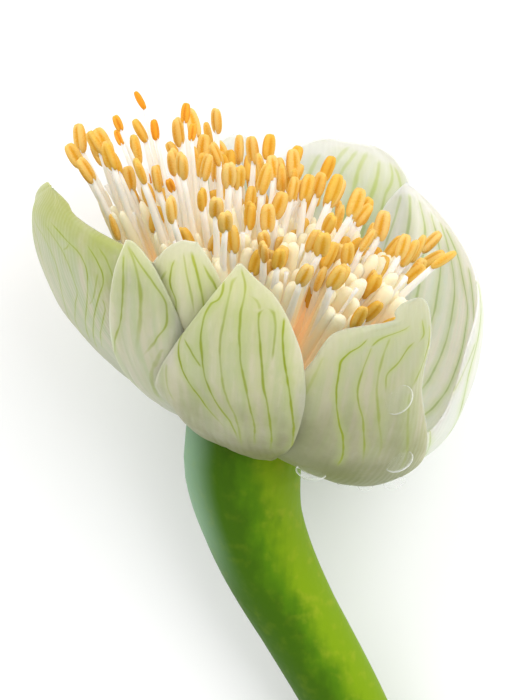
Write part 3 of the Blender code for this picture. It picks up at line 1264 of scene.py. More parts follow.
RIGHT_FRONT_VEINS = (
    Vein(((0.46, 9), (0.57, 7), (0.71, 2), (0.80, 0), (0.86, 0), (0.893, 2), (0.91, 5), (0.93, 7.5)),
         1.0, 0.06, seed=1.7),
    Vein(((0.905, 8), (0.92, 10), (0.93, 13), (0.935, 16), (0.942, 19), (0.95, 20.5)),
         0.9, 0.01, 0.8, seed=2.1),
    Vein(((0.52, 15), (0.61, 12), (0.70, 9), (0.80, 6), (0.85, 6.4), (0.91, 8.3)), 0.75, 0.10, seed=2.9),
    Vein(((0.52, 19), (0.61, 17), (0.72, 13), (0.83, 11), (0.89, 12), (0.928, 14)),
         0.55, 0.18, width=1.3, seed=3.3),
    Vein(((0.78, 14), (0.83, 13.2), (0.87, 16.5), (0.90, 19.5), (0.915, 22)), 0.75, 0.05, seed=4.6),
    Vein(((0.79, 21), (0.84, 23.6), (0.88, 26.2), (0.91, 27.6), (0.945, 27.2)),
         1.0, 0.06, 0.5, 1.6, seed=5.8),
    Vein(((0.905, 22.5), (0.93, 25), (0.96, 24.6)), 0.7, 0.02, seed=6.4),
    Vein(((0.55, -14), (0.70, -9), (0.80, -6.5), (0.88, -4)), 0.3, 0.1, width=1.2, seed=8.4),
    Vein(((0.45, 33), (0.60, 27), (0.72, 22), (0.79, 21)), 0.45, 0.12, width=1.6, seed=9.4),
)

LEFT_VEINS = (
    Vein(((0.50, 10), (0.58, 18), (0.67, 26), (0.79, 36), (0.86, 38.6), (0.90, 36), (0.92, 28), (0.94, 18)),
         0.9, seed=0.7),
    Vein(((0.45, 3), (0.64, 16), (0.74, 26), (0.82, 31.5), (0.88, 28.5), (0.91, 22), (0.93, 15)),
         0.65, seed=1.5),
    Vein(((0.89, 27), (0.905, 30), (0.918, 31)), 0.6, 0.01, 0.2, seed=2.0),
    Vein(((0.45, 8), (0.65, 29), (0.73, 36), (0.83, 43), (0.87, 45), (0.90, 43), (0.93, 38)), 0.9, seed=2.5),
    Vein(((0.77, 35.4), (0.80, 39), (0.85, 42), (0.88, 43)), 0.6, 0.02, 0.3, seed=3.1),
    Vein(((0.50, 20), (0.69, 37), (0.76, 42), (0.80, 44), (0.82, 43.5)), 0.75, seed=4.2),
    Vein(((0.80, 48), (0.86, 48.5), (0.91, 46), (0.935, 42)), 0.6, 0.06, seed=5.3),
    Vein(((0.40, -4), (0.60, 7), (0.75, 18), (0.84, 22), (0.89, 17), (0.92, 8), (0.95, 6)),
         0.5, width=1.3, seed=6.6),
    Vein(((0.40, -10), (0.60, -2), (0.76, 8), (0.86, 10), (0.93, 4), (0.97, 5)), 0.4, width=1.2, seed=7.2),
    Vein(((0.20, -16), (0.60, -12), (0.80, -8), (0.94, 2)), 0.5, seed=7.7),
    Vein(((0.20, -24), (0.60, -22), (0.80, -17), (0.93, -2)), 0.6, seed=8.3),
    Vein(((0.20, -31), (0.60, -30), (0.80, -23), (0.92, -6)), 0.6, seed=8.9),
)

SECOND_VEINS = (
    Vein(((0.62, -7), (0.69, -4.4), (0.76, -2), (0.83, 1), (0.91, 2), (0.975, 2)), 0.75, seed=0.9),
    Vein(((0.70, 3), (0.80, 6), (0.88, 7), (0.95, 5.6), (0.995, 3)), 0.75, 0.2, width=1.9, seed=1.8),
    Vein(((0.70, 5), (0.78, 10), (0.84, 13), (0.88, 12.8), (0.93, 9.2), (0.99, 3.6)), 0.75, 0.1, seed=2.6),
    Vein(((0.40, -10), (0.60, -10), (0.80, -5)), 0.4, seed=3.4),
    Vein(((0.40, 4), (0.60, 6), (0.70, 9), (0.76, 12)), 0.4, 0.1, width=1.8, seed=4.1),
)

SMALL_VEINS = (
    Vein(((0.82, -3.6), (0.87, -3.2), (0.92, -5), (0.945, -4.9), (0.965, -4)), 0.9, 0.05, seed=0.6),
    Vein(((0.84, 2), (0.90, 0.6), (0.94, -1), (0.98, -2)), 0.55, 0.05, seed=1.2),
    Vein(((0.82, 5), (0.90, 3.2), (0.94, 2), (0.985, 0)), 0.95, 0.04, width=1.3, seed=1.9),
    Vein(((0.88, 8), (0.92, 5.9), (0.965, 3)), 0.8, 0.03, seed=2.7),
    Vein(((0.60, -12), (0.80, -10), (0.90, -8), (0.94, -6)), 0.5, seed=3.5),
)

FAR_RIGHT_VEINS = (
    Vein(((0.30, 52), (0.60, 50), (0.80, 46), (0.92, 42), (0.98, 40)), 0.7, seed=0.8),
    Vein(((0.30, 44), (0.60, 43), (0.80, 40), (0.94, 36.6), (0.985, 37)), 0.9, width=1.6, seed=1.4),
    Vein(((0.30, 37), (0.60, 34), (0.80, 30), (0.92, 30.5), (0.98, 33)), 0.8, width=1.2, seed=2.3),
    Vein(((0.30, 30), (0.60, 25), (0.80, 22), (0.91, 24), (0.965, 28)), 0.8, seed=3.2),
    Vein(((0.30, 23), (0.60, 16), (0.80, 14), (0.90, 18), (0.955, 24)), 0.7, seed=4.3),
    Vein(((0.30, 15), (0.60, 7), (0.78, 5), (0.88, 11), (0.95, 21)), 0.85, seed=5.1),
    Vein(((0.30, 7), (0.50, -1), (0.70, -5), (0.80, -2), (0.90, 7)), 0.8, seed=5.7),
    Vein(((0.30, -1), (0.50, -12), (0.66, -16), (0.78, -13), (0.89, -1)), 0.9, seed=6.3),
    Vein(((0.62, -27), (0.69, -21), (0.75, -17), (0.79, -13.5)), 0.7, 0.04, seed=6.9),
    Vein(((0.30, -12), (0.45, -22), (0.61, -31), (0.72, -25), (0.79, -22)), 0.8, seed=7.4),
    Vein(((0.20, -30), (0.40, -36), (0.50, -34), (0.58, -31)), 0.6, seed=8.1),
)

BACK_VEINS = (
    Vein(((0.30, 3), (0.60, 5), (0.80, 4), (0.92, 0), (0.96, -2), (0.99, -4)), 0.9, 0.2, width=1.5, seed=0.7),
    Vein(((0.30, -2), (0.60, -2), (0.75, -2), (0.89, -5), (0.94, -7), (0.98, -8)),
         0.9, 0.2, width=1.3, seed=1.6),
    Vein(((0.30, -8), (0.60, -8), (0.80, -8.5), (0.91, -10), (0.95, -12), (0.98, -11)), 0.8, 0.2, seed=2.4),
    Vein(((0.70, -12.5), (0.86, -14.5), (0.92, -15.5), (0.955, -14.5), (0.975, -12.5)), 0.8, 0.1, seed=3.3),
    Vein(((0.30, 8), (0.60, 9), (0.85, 7), (0.94, 4), (0.97, 1), (0.99, -1)), 0.8, 0.2, seed=4.5),
    Vein(((0.40, 12), (0.70, 13), (0.90, 9), (0.97, 4.5), (0.995, 1)), 0.7, 0.2, seed=5.2),
    Vein(((0.30, 17), (0.60, 18), (0.80, 16), (0.94, 12), (0.97, 10)), 0.7, 0.2, seed=6.6),
    Vein(((0.30, -16), (0.60, -19), (0.80, -20), (0.90, -18)), 0.7, 0.2, seed=7.9),
)

# The bracts' finishes are lit and shaded copies of one tissue. The darker colours and dark feet of the front
# bracts are painted shade, and the paler colours and glow of the far and inner bracts are painted light that
# stands in for light coming through them.
SIDE_FINISH = BractFinish(
    foot=(0.30, 0.33, 0.21), body=(0.47, 0.45, 0.33), green=(0.38, 0.42, 0.26), tip=(0.31, 0.35, 0.10),
    rise=(0.22, 0.80),
)
SECOND_FINISH = BractFinish(
    foot=(0.34, 0.37, 0.25), body=(0.54, 0.51, 0.38), green=(0.44, 0.48, 0.30), tip=(0.40, 0.43, 0.22),
    rise=(0.22, 0.80),
)
SMALL_FINISH = BractFinish(
    foot=(0.40, 0.42, 0.28), body=(0.53, 0.51, 0.37), green=(0.47, 0.49, 0.32), tip=(0.47, 0.49, 0.30),
    rise=(0.22, 0.80),
)
RIGHT_FINISH = BractFinish(
    foot=(0.19, 0.205, 0.080), body=(0.46, 0.435, 0.315), green=(0.40, 0.42, 0.25), tip=(0.40, 0.43, 0.28),
    rise=(0.40, 0.86),
)
FAR_FINISH = BractFinish(
    foot=(0.66, 0.70, 0.62), body=(0.74, 0.76, 0.72), green=(0.64, 0.71, 0.61), tip=(0.68, 0.73, 0.66),
    line=(0.46, 0.56, 0.25), stain=(0.56, 0.64, 0.40), backed=0.5, vein_width=0.00034, stained=0.75,
)
INNER_FINISH = BractFinish(
    foot=(0.64, 0.72, 0.67), body=(0.88, 0.86, 0.81), green=(0.76, 0.82, 0.75), tip=(0.86, 0.86, 0.78),
    line=(0.41, 0.51, 0.20), stain=(0.56, 0.65, 0.38), painted_glow=(0.045, 0.060, 0.070), back=(0.60, 0.63, 0.50),
    backed=0.5, vein_width=0.00028, stained=0.65,
)

BRACTS = (
    Bract(
        "bract_1", 185, 36, reach=0.977, layer=-2, turn=12, curl=0.0010, bluntness=3.0, hook=0.0013,
        right=(
            (0.0, 50), (0.55, 56), (0.80, 57), (0.90, 54), (0.94, 44), (0.958, 28), (0.970, 17), (0.984, 12),
            (0.994, 7), (1.0, 0.5),
        ),
        veins=LEFT_VEINS, finish=SIDE_FINISH, rows=110, seed=3,
    ),
    Bract(
        "bract_2", -124, 19, reach=0.950, layer=-1, turn=3, curl=0.0003, bluntness=2.2,
        left=((0.0, 10), (0.60, 8.5), (0.80, 6), (0.92, 3.5), (1.0, 0.3)),
        veins=SECOND_VEINS, finish=SECOND_FINISH, seed=5,
    ),
    Bract(
        "bract_3", -106, 17, reach=0.958, layer=-2, turn=1, curl=0.0006, bluntness=3.2,
        right=((0.0, 17), (0.60, 16.8), (0.75, 14.5), (0.85, 10.5), (0.92, 7), (0.97, 3.6), (1.0, 0.3)),
        veins=SMALL_VEINS, finish=SMALL_FINISH, seed=7,
    ),
    Bract(
        "bract_4", -96, 20.5, reach=0.940, layer=0, turn=2, curl=0.0012, bluntness=2.0,
        left=(
            (0.0, 20.5), (0.60, 20.3), (0.70, 17.6), (0.80, 12.8), (0.88, 8.4), (0.94, 4.7), (0.975, 2.2),
            (1.0, 0.3),
        ),
        right=((0.0, 20.5), (0.65, 20.4), (0.80, 17.6), (0.88, 13.8), (0.94, 9.2), (0.975, 4.0), (1.0, 0.3)),
        veins=FRONT_VEINS, seed=9,
    ),
    Bract(
        "bract_5", -68, 26, reach=0.861, layer=-1, turn=24, curl=0.0016, bluntness=3.4, bulge=0.0015,
        left=(
            (0.0, 22), (0.60, 22), (0.85, 20.8), (0.91, 21.2), (0.935, 20.2), (0.946, 16.5), (0.957, 5.8),
            (0.978, 5.8), (0.992, 4.6), (1.0, 0.5),
        ),
        right=(
            (0.0, 40), (0.48, 40), (0.62, 30.5), (0.76, 18.5), (0.83, 14.5), (0.90, 12), (0.95, 8.5),
            (0.98, 5.2), (0.992, 3.2), (1.0, 0.5),
        ),
        veins=RIGHT_FRONT_VEINS, finish=RIGHT_FINISH, rows=130, seed=11,
    ),
    Bract(
        "bract_6", 8, 46, reach=0.930, layer=-2, turn=38, curl=0.0010, bluntness=2.0,
        left=(
            (0.0, 46), (0.38, 43), (0.50, 36), (0.60, 31), (0.70, 32), (0.80, 34), (0.88, 27), (0.94, 17.5),
            (0.98, 8), (1.0, 0.4),
        ),
        right=((0.0, 46), (0.55, 46), (0.70, 43), (0.80, 36), (0.88, 26), (0.94, 15), (0.98, 6), (1.0, 0.4)),
        veins=FAR_RIGHT_VEINS, finish=INNER_FINISH, seed=13,
    ),
    Bract(
        "bract_7", 66.5, 26, reach=0.975, layer=-1, turn=0, curl=0.0012, bluntness=4.0,
        veins=BACK_VEINS, finish=FAR_FINISH, seed=15,
    ),
    Bract(
        "bract_8", 112, 17.5, reach=0.965, layer=-1, turn=-14, curl=0.0014, bluntness=2.4,
        finish=FAR_FINISH, seed=17,
    ),
    Bract(
        "bract_9", 131, 17, reach=0.780, layer=-2, turn=0, curl=0.0014, bluntness=2.0,
        finish=FAR_FINISH, vein_count=5, seed=19,
    ),
)


@dataclass(frozen=True)
class Dew:
    """Beads of water that cling to the bracts, as (bract, share up it, degrees from its middle, half width).

    A bead with a half width below 0 clings to the bract's inner face.
    """

    beads: tuple = (
        ("bract_5", 0.34, 5, 0.00175),
        ("bract_5", 0.20, 12, 0.00090),
        ("bract_5", 0.26, 27, 0.00090),
        ("bract_5", 0.31, 33, 0.00085),
        ("bract_5", 0.40, 38, 0.00125),
        ("bract_5", 0.55, 27, 0.00165),
        ("bract_5", 0.77, 18, 0.00180),
        ("bract_6", 0.58, -21, -0.00065),
    )
    height: float = 0.52
    base: float = -0.25
    seat: float = 0.4
    segments: int = 32
    rings: int = 18

    def blank(self) -> Object:
        """A round bead of unit half width, cut flat underneath where it sits in the bract.

        Returns:
            The bead, with +Z away from the bract.
        """
        clear_selection()
        bpy.ops.mesh.primitive_uv_sphere_add(segments=self.segments, ring_count=self.rings, radius=1.0)
        bead = bpy.context.object
        bpy.ops.object.mode_set(mode="EDIT")
        bisect_all(self.base, use_fill=True, clear_inner=True)
        bpy.ops.object.mode_set(mode="OBJECT")
        return bead

    def build(self, cup: Cup) -> Object:
        """Model the beads and dress them.

        Args:
            cup: The wall that the bracts are patches of.

        Returns:
            All the beads as one piece.
        """
        blank = self.blank()
        bracts = {bract.name: bract for bract in BRACTS}
        beads = []
        for name, share, degrees, half in self.beads:
            bract = bracts[name]
            middle = bract.angles(0.0, share)[1]
            turn = math.radians(bract.azimuth + degrees) - middle
            out = cup.normal(middle + turn, bract.reach * share) * math.copysign(1.0, half)
            across = turn / bract.spread(share, turn)
            foot = bract.place(cup, across, share) + out * bract.thickness * self.seat
            half = abs(half)
            size = Matrix.Diagonal((half, half, half * self.height, 1.0))
            bead = copied(blank, "bead")
            bead.data.transform(Matrix.Translation(foot) @ turned_to(out).to_4x4() @ size)
            beads.append(bead)
        bpy.data.objects.remove(blank)
        return settle(joined(beads, "dew"), WaterFinish().build("water"), "")


class Age(Enum):
    """How far a flower has come."""

    YOUNG = "young"
    OPEN = "open"
    SPENT = "spent"


@dataclass(frozen=True)
class AgeShape:
    """What changes as a flower grows older, in metres.

    Attributes:
        reach: Least and most that its longest stamens stand past the brush's face.
        anther: Half sizes of an anther.
        filament: Half widths of a filament at its foot and at its top.
        tepal_out: How far a tepal's tip stands away from the axis.
        tepal_top: Height of a tepal's tip, as a share of the flower's length.
        tepal_half: A tepal's half width.
        deep_share: Share of the stamens that stay down among the tepals.
        lean: Factor on how far the stamens spread.
        uneven: Most that a stamen falls short of its length.
    """

    reach: tuple[float, float]
    anther: tuple[float, float, float]
    filament: tuple[float, float]
    tepal_out: float
    tepal_top: float
    tepal_half: float
    deep_share: float
    lean: float
    uneven: float


AGE_SHAPES = {
    Age.YOUNG: AgeShape(
        (-0.0016, 0.0016), (0.00082, 0.00061, 0.00162), (0.00060, 0.00034),
        tepal_out=0.0015, tepal_top=0.80, tepal_half=0.00094, deep_share=0.60, lean=1.0, uneven=0.0006,
    ),
    Age.OPEN: AgeShape(
        (-0.0012, 0.0024), (0.00082, 0.00060, 0.00160), (0.00056, 0.00028),
        tepal_out=0.0021, tepal_top=0.74, tepal_half=0.00064, deep_share=0.56, lean=1.1, uneven=0.0010,
    ),
    Age.SPENT: AgeShape(
        (-0.0010, 0.0048), (0.00050, 0.00044, 0.00108), (0.00050, 0.00018),
        tepal_out=0.0026, tepal_top=0.66, tepal_half=0.00058, deep_share=0.50, lean=1.5, uneven=0.0022,
    ),
}


@dataclass(frozen=True)
class Brush:
    """The dense brush of flowers that fans out from the dome to the mouth of the cup."""

    count: int = 32
    gap: float = 0.0003
    base_spread: float = 0.0053
    golden_angle: float = math.radians(137.508)
    radius_right: float = 0.0222
    radius_left: float = 0.0215
    depth_share: float = 0.90
    apex: float = 0.0335
    drop: float = 0.0050
    slope: float = 0.25
    seed: int = 24
    spent_from: float = 0.72
    open_from: float = -0.25
    back_weight: float = 0.45

    def place(self, cup: Cup, stalk: Stalk, index: int) -> tuple[Vector, Vector]:
        """Where a flower stands and where it points.

        Args:
            cup: The wall that the bracts are patches of.
            stalk: The stalk that the flowers stand on.
            index: The flower's number, from 0 in the middle.

        Returns:
            The foot on the dome, and the point in the brush's face that it aims at.
        """
        share = math.sqrt((index + 0.5) / self.count)
        azimuth = index * self.golden_angle
        around = polar(azimuth)
        slope = math.asin(self.base_spread * share / stalk.dome_curve)
        out = around * math.sin(slope) + UP * math.cos(slope)
        foot = UP * stalk.crown + out * (stalk.dome_curve + self.gap)
        aim = around * blend(self.radius_right, self.radius_left, cup.left_share(azimuth)) * share
        aim.y *= self.depth_share
        aim.z = self.apex - self.drop * share**2 - self.slope * aim.x
        return foot, aim

    def age(self, aim: Vector, chance: random.Random) -> Age:
        """Older flowers stand on the left and at the back, younger ones on the right and in front.

        Args:
            aim: The point that the flower aims at.
            chance: The flower's source of random numbers.

        Returns:
            The flower's age.
        """
        score = (self.back_weight * aim.y - aim.x) / self.radius_left + chance.uniform(-0.45, 0.45)
        if score > self.spent_from:
            return Age.SPENT
        return Age.OPEN if score > self.open_from else Age.YOUNG


@dataclass(frozen=True)
class Anther:
    """A two-lobed anther: a blunt round bead, furrowed down the front and the back and notched at both ends.

    Furrow, squeeze and notches are shares of its size. The two seams are how strongly its outer edges and
    its ends are coloured like the furrow; on the outer edges this colour is painted shade.
    """

    segments: int = 16
    rings: int = 9
    blunt: float = 0.45
    furrow_width: float = 0.40
    furrow: float = 0.45
    squeeze: float = 0.06
    foot_notch: float = 0.34
    top_notch: float = 0.16
    edge_shade: float = 0.75
    end_seam: float = 0.2

    def blank(self) -> Object:
        """An anther of unit half sizes.

        Returns:
            The anther, standing along +Z.
        """
        clear_selection()
        bpy.ops.mesh.primitive_uv_sphere_add(segments=self.segments, ring_count=self.rings, radius=1.0)
        anther = bpy.context.object
        anther.name = "anther_blank"
        grooves = []
        for vert in anther.data.vertices:
            across = math.cos(math.atan2(vert.co.y, vert.co.x))
            ring = math.hypot(vert.co.x, vert.co.y)
            full = ring**-self.blunt if ring > 0.05 else 1.0
            middle = math.exp(-((across / self.furrow_width) ** 2))
            foot = self.foot_notch * eased(-vert.co.z, 0.2, 1.0)
            top = self.top_notch * eased(vert.co.z, 0.4, 1.0)
            # Painted shade along the outer edges of the lobes.
            edge = self.edge_shade * across**6
            vert.co.x *= full * (1.0 - self.squeeze * middle)
            vert.co.y *= full * (1.0 - self.furrow * middle)
            vert.co.z *= 1.0 - middle * (foot + top)
            grooves.append(min(1.0, ring * max(middle, edge) + self.end_seam * (1.0 - ring)))
        write_attributes(anther.data, groove=grooves, shade=[0.5] * len(grooves))
        return anther


class FlowerKit:
    """The straight blanks that every flower is made of, and the finishes that they wear."""

    def __init__(self) -> None:
        """Model the blanks and mix the finishes."""
        self.tube = rod_blank("tube_blank", 10, (0.0, 0.25, 0.5, 0.62, 0.74, 0.86, 1.0))
        self.filament = rod_blank("filament_blank", 8, (0.0, 0.15, 0.3, 0.45, 0.6, 0.74, 0.88, 1.0))
        self.tepal = rod_blank("tepal_blank", 8, (0.0, 0.2, 0.4, 0.58, 0.74, 0.85, 0.92, 0.97, 1.0))
        self.anther = Anther().blank()
        finishes = {
            # The peach feet of tepals and filaments are partly their own colour and partly painted warm light
            # deep in the brush.
            "tepal": StemFinish((0.96, 0.68, 0.38), (0.88, 0.81, 0.60), (0.20, 0.95)),
            "filament": StemFinish((0.96, 0.74, 0.46), (0.84, 0.82, 0.78), (0.10, 0.85)),
            "anther_young": AntherFinish((0.87, 0.61, 0.20), (0.83, 0.51, 0.07), (0.77, 0.37, 0.008)),
            "anther_open": AntherFinish((0.87, 0.57, 0.15), (0.83, 0.47, 0.04), (0.77, 0.35, 0.005)),
            "anther_spent": AntherFinish((0.93, 0.43, 0.030), (0.91, 0.36, 0.004), (0.80, 0.27, 0.002)),
        }
        self.materials = {name: finish.build(name) for name, finish in finishes.items()}

    def clear(self) -> None:
        """Take the blanks away once every flower is made."""
        for blank in (self.tube, self.filament, self.tepal, self.anther):
            bpy.data.objects.remove(blank)


@dataclass
class Flower:
    """One flower of the brush: perianth, filaments with the style, and anthers.

    It is modelled upright, with its foot at the origin. Going up the tube, column gives its radius. Going up
    a tepal, the widths and depths are shares of its full half width. Names with reach, rise, sway and grown
    hold the ranges, or the largest values, that chance draws from.
    """

    index: int
    brush: Brush
    kit: FlowerKit
    parts: int = 6
    throat_at: float = 0.34
    throat_radius: float = 0.00110
    column: Pairs = ((0.0, 0.00052), (0.18, 0.00052), (0.25, 0.00095), (0.34, 0.00110))
    tepal_widths: Pairs = ((0.0, 0.7), (0.45, 0.9), (0.80, 1.0), (0.92, 0.90), (0.97, 0.66), (1.0, 0.12))
    tepal_depths: Pairs = ((0.0, 0.5), (0.60, 0.50), (0.88, 0.68), (0.97, 0.50), (1.0, 0.1))
    tepal_reach: tuple[float, float] = (0.85, 1.2)
    tepal_rise: tuple[float, float] = (0.93, 1.04)
    tepal_sway: float = 0.0005
    style_radii: tuple[float, float] = (0.00030, 0.00018)
    style_rise: tuple[float, float] = (0.72, 0.88)
    style_sway: float = 0.001
    stigma: float = 0.00008
    stamen_spread: float = 0.0027
    stamen_reach: tuple[float, float] = (0.72, 1.15)
    stamen_sway: float = 0.0009
    stamen_depth: float = 0.85
    stamen_taper: float = 1.4
    deep_rise: tuple[float, float] = (0.62, 0.84)
    tall_rise: tuple[float, float] = (0.89, 1.02)
    anther_grown: tuple[float, float] = (0.88, 1.10)
    anther_seat: float = 0.72

    def build(self, cup: Cup, stalk: Stalk) -> None:
        """Model the flower and dress it.

        Args:
            cup: The wall that the bracts are patches of.
            stalk: The stalk that the flowers stand on.
        """
        chance = random.Random(self.brush.seed + self.index)
        foot, aim = self.brush.place(cup, stalk, self.index)
        axis = aim - foot
        spin = Matrix.Rotation(chance.uniform(0.0, math.tau / self.parts), 4, "Z")
        stand = Matrix.Translation(foot) @ turned_to(axis).to_4x4() @ spin
        age = self.brush.age(aim, chance)
        shape = AGE_SHAPES[age]
        length = axis.length
        rise = chance.uniform(*shape.reach)
        tepals = [self.tube(length)]
        filaments = [self.style(length, chance)]
        anthers = []
        for part in range(self.parts):
            out = polar(math.tau * (part + 0.5) / self.parts)
            side = UP.cross(out)
            tepals.append(self.tepal(length, shape, out, side, chance))
            filament, tip, leaning = self.stamen(length, shape, rise, out, side, chance)
            filaments.append(filament)
            anthers.append(self.anther(shape, tip, leaning, chance))
        node = f"flower_{self.index + 1:02d}"
        for parts, name, finish in (
            (tepals, "tepals", "tepal"),
            (filaments, "filaments", "filament"),
            (anthers, "anthers", f"anther_{age.value}"),
        ):
            piece = joined(parts, f"{node}_{name}")
            piece.data.transform(stand)
            settle(piece, self.kit.materials[finish], "flower", node)

    def tube(self, length: float) -> Object:
        """The pedicel, the ovary and the short tube above it.

        Args:
            length: The flower's length.

        Returns:
            The tube.
        """
        rod = copied(self.kit.tube, "tube")

        def size(height: float) -> tuple[float, float]:
            """Half sizes at a height."""
            radius = looked_up(self.column, height * self.throat_at)
            return radius, radius

        lay_rod(rod, (UP * 0.0, UP * length * self.throat_at), size)
        write_attributes(rod.data, height=[vert.co.z / length for vert in rod.data.vertices])
        return rod

    def style(self, length: float, chance: random.Random) -> Object:
        """The slender style in the middle, with its small stigma.

        Args:
            length: The flower's length.
            chance: The flower's source of random numbers.

        Returns:
            The style.
        """
        rod = copied(self.kit.filament, "style")
        sway = Vector([chance.uniform(-self.style_sway, self.style_sway) for _ in range(2)] + [0.0])
        foot = UP * length * self.throat_at
        top = UP * length * chance.uniform(*self.style_rise) + sway

        def size(height: float) -> tuple[float, float]:
            """Half sizes at a height."""
            radius = blend(*self.style_radii, height) + self.stigma * eased(height, 0.93, 1.0)
            return radius, radius

        lay_rod(rod, (foot, (foot + top) / 2 - sway, top), size)
        return rod

    def tepal(
        self, length: float, shape: AgeShape, out: Vector, side: Vector, chance: random.Random
    ) -> Object:
        """A narrow blunt tepal that rises from the tube, with its flat side towards the flower's axis.

        Args:
            length: The flower's length.
            shape: What the flower's age gives it.
            out: The way outwards from the flower's axis.
            side: The way round the axis, square to out.
            chance: The flower's source of random numbers.

        Returns:
            The tepal.
        """
        rod = copied(self.kit.tepal, "tepal")
        foot = out * self.throat_radius * 0.75 + UP * length * (self.throat_at - 0.02)
        reach = shape.tepal_out * chance.uniform(*self.tepal_reach)
        top = out * reach + UP * length * shape.tepal_top * chance.uniform(*self.tepal_rise)
        top += side * chance.uniform(-self.tepal_sway, self.tepal_sway)
        swell = out * (reach * 0.9 + 0.0006) + UP * length * blend(self.throat_at, shape.tepal_top, 0.6)

        def size(height: float) -> tuple[float, float]:
            """Half sizes at a height."""
            width, depth = [looked_up(pairs, height) for pairs in (self.tepal_widths, self.tepal_depths)]
            return width * shape.tepal_half, depth * shape.tepal_half

        turn = Matrix((out, side, UP)).transposed() @ Matrix.Rotation(math.pi / 2, 3, "Z")
        back = turn.inverted()
        lay_rod(rod, [back @ point for point in (foot, swell, top)], size)
        rod.data.transform(turn.to_4x4())
        return rod

    def stamen(
        self, length: float, shape: AgeShape, rise: float, out: Vector, side: Vector, chance: random.Random
    ) -> tuple[Object, Vector, Vector]:
        """A filament that tapers upwards.

        Args:
            length: The flower's length.
            shape: What the flower's age gives it.
            rise: How far the longest stamens stand past the brush's face.
            out: The way outwards from the flower's axis.
            side: The way round the axis, square to out.
            chance: The flower's source of random numbers.

        Returns:
            The filament, the point where its anther sits and the way that the anther leans.
        """
        rod = copied(self.kit.filament, "filament")
        spread = self.stamen_spread * shape.lean * chance.uniform(*self.stamen_reach)
        sideways = chance.uniform(-self.stamen_sway, self.stamen_sway)
        deep = chance.random() < shape.deep_share
        share = chance.uniform(*(self.deep_rise if deep else self.tall_rise))
        top = length * share + rise - chance.uniform(0.0, shape.uneven) - shape.anther[2]
        foot = out * self.throat_radius * 0.55 + UP * length * (self.throat_at - 0.01)
        tip = out * spread + side * sideways + UP * top
        bow = out * (spread * 0.62 + chance.uniform(-0.0004, 0.0006)) + UP * blend(foot.z, top, 0.55)

        def size(height: float) -> tuple[float, float]:
            """Half sizes at a height."""
            radius = blend(*shape.filament, height**self.stamen_taper)
            return radius, radius * self.stamen_depth

        lay_rod(rod, (foot, bow, tip), size)
        leaning = (tip - bow).normalized()
        leaning += out * chance.uniform(-0.35, 0.25) + side * chance.uniform(-0.30, 0.30)
        return rod, tip, leaning.normalized()

    def anther(self, shape: AgeShape, tip: Vector, leaning: Vector, chance: random.Random) -> Object:
        """A two-lobed anther on the end of its filament.

        Args:
            shape: What the flower's age gives it.
            tip: The filament's top.
            leaning: The way that the anther points.
            chance: The flower's source of random numbers.

        Returns:
            The anther.
        """
        piece = copied(self.kit.anther, "anther")
        grown = chance.uniform(*self.anther_grown)
        half = [value * grown for value in shape.anther]
        facing = Matrix.Rotation(chance.uniform(0.0, math.tau), 4, "Z")
        centre = tip + leaning * half[2] * self.anther_seat
        turned = turned_to(leaning).to_4x4() @ facing
        piece.data.transform(Matrix.Translation(centre) @ turned @ Matrix.Diagonal((*half, 1.0)))
        shade = chance.uniform(0.0, 1.0)
        write_attributes(piece.data, shade=[shade] * len(piece.data.vertices))
        return piece


# ------------------------------------------------------------------------------------------------ scene


def added(name: str, data: ID, place: Vector) -> Object:
    """A new object in the scene at a place.

    Args:
        name: The object's name.
        data: What it holds, such as a lamp.
        place: Where it goes.

    Returns:
        The object.
    """
    made = bpy.data.objects.new(name, data)
    bpy.context.collection.objects.link(made)
    made.location = place
    return made


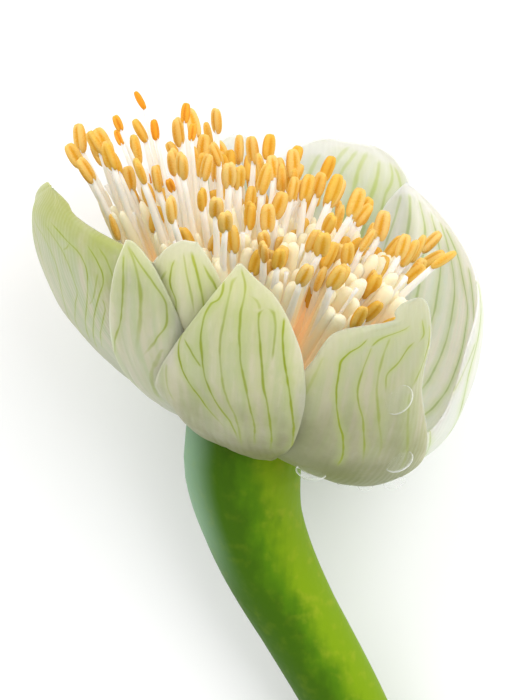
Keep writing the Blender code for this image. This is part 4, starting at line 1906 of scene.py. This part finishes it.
@dataclass(frozen=True)
class Studio:
    """A plain pale floor, soft studio light and the camera above the flower.

    The lamps are given as name, place, size and power in watts.
    """

    distance: float = 0.42
    view_height: float = 0.0784
    sensor: float = 36.0
    aim: tuple[float, float] = (0.00218, 0.01008)
    floor_size: float = 3.0
    daylight: float = 0.90
    lamps: tuple = (
        ("key_lamp", (0.28, 0.22, 0.55), 0.50, 1.7),
        ("back_lamp", (-0.30, 0.35, 0.40), 0.40, 0.9),
    )

    def build(self) -> None:
        """Make the floor, the light and the camera."""
        self.make_floor()
        self.make_light()
        self.make_camera()

    def make_floor(self) -> None:
        """A wide white floor at the height that the flower lies on."""
        clear_selection()
        bpy.ops.mesh.primitive_plane_add(size=self.floor_size)
        floor = bpy.context.object
        floor.name = "floor"
        material, _, _ = new_material("floor", {"Roughness": 0.9, "Base Color": (0.96, 0.96, 0.96, 1.0)})
        floor.data.materials.append(material)

    def make_light(self) -> None:
        """White surroundings and two large soft lamps, from the upper right and the upper left."""
        world = bpy.data.worlds.new("surroundings")
        world.use_nodes = True
        sky = world.node_tree.nodes["Background"]
        Sheet(world.node_tree).fill(sky, {"Color": (1.0, 1.0, 1.0, 1.0), "Strength": self.daylight})
        bpy.context.scene.world = world
        for name, place, size, power in self.lamps:
            lamp = bpy.data.lights.new(name, "AREA")
            lamp.size = size
            lamp.energy = power
            holder = added(name, lamp, Vector(place))
            holder.rotation_euler = (HEAD.translation - holder.location).to_track_quat("-Z", "Y").to_euler()

    def make_camera(self) -> None:
        """The camera straight above, with its top edge towards the brush."""
        camera = bpy.data.cameras.new("camera")
        camera.sensor_width = self.sensor
        camera.lens = self.sensor * self.distance / self.view_height
        place = HEAD.translation + Vector((*self.aim, self.distance))
        bpy.context.scene.camera = added("camera", camera, place)
        bpy.context.scene.view_settings.view_transform = "Standard"


def head_matrix(stalk: Stalk) -> Matrix:
    """The head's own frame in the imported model's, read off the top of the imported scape's dome.

    Args:
        stalk: The stalk, for the size of its dome.

    Returns:
        The matrix that lays a piece down.
    """
    turned = Matrix.Rotation(LEAN, 4, "Z") @ Matrix.Rotation(TILT, 4, "X")
    axis = turned.to_3x3() @ UP
    top = max((vert.co for vert in frame["nodes"]["scape"].data.vertices), key=axis.dot)
    origin = top - axis * (stalk.crown + stalk.dome_curve)
    return Matrix.Translation(origin) @ turned


def main() -> None:
    """Build every sub-assembly in order."""
    logging.basicConfig(level=logging.INFO, format="%(name)s: %(message)s")
    stalk, cup, brush = Stalk(), Cup(), Brush()
    stalk.build()
    for bract in BRACTS:
        bract.build(cup)
    Dew().build(cup)
    kit = FlowerKit()
    for index in range(brush.count):
        Flower(index, brush, kit).build(cup, stalk)
    kit.clear()
    Studio().build()


HEAD = head_matrix(Stalk())
GROUPS = {"vein": vein_group(), "tissue": tissue_group()}

if __name__ == "__main__":
    main()
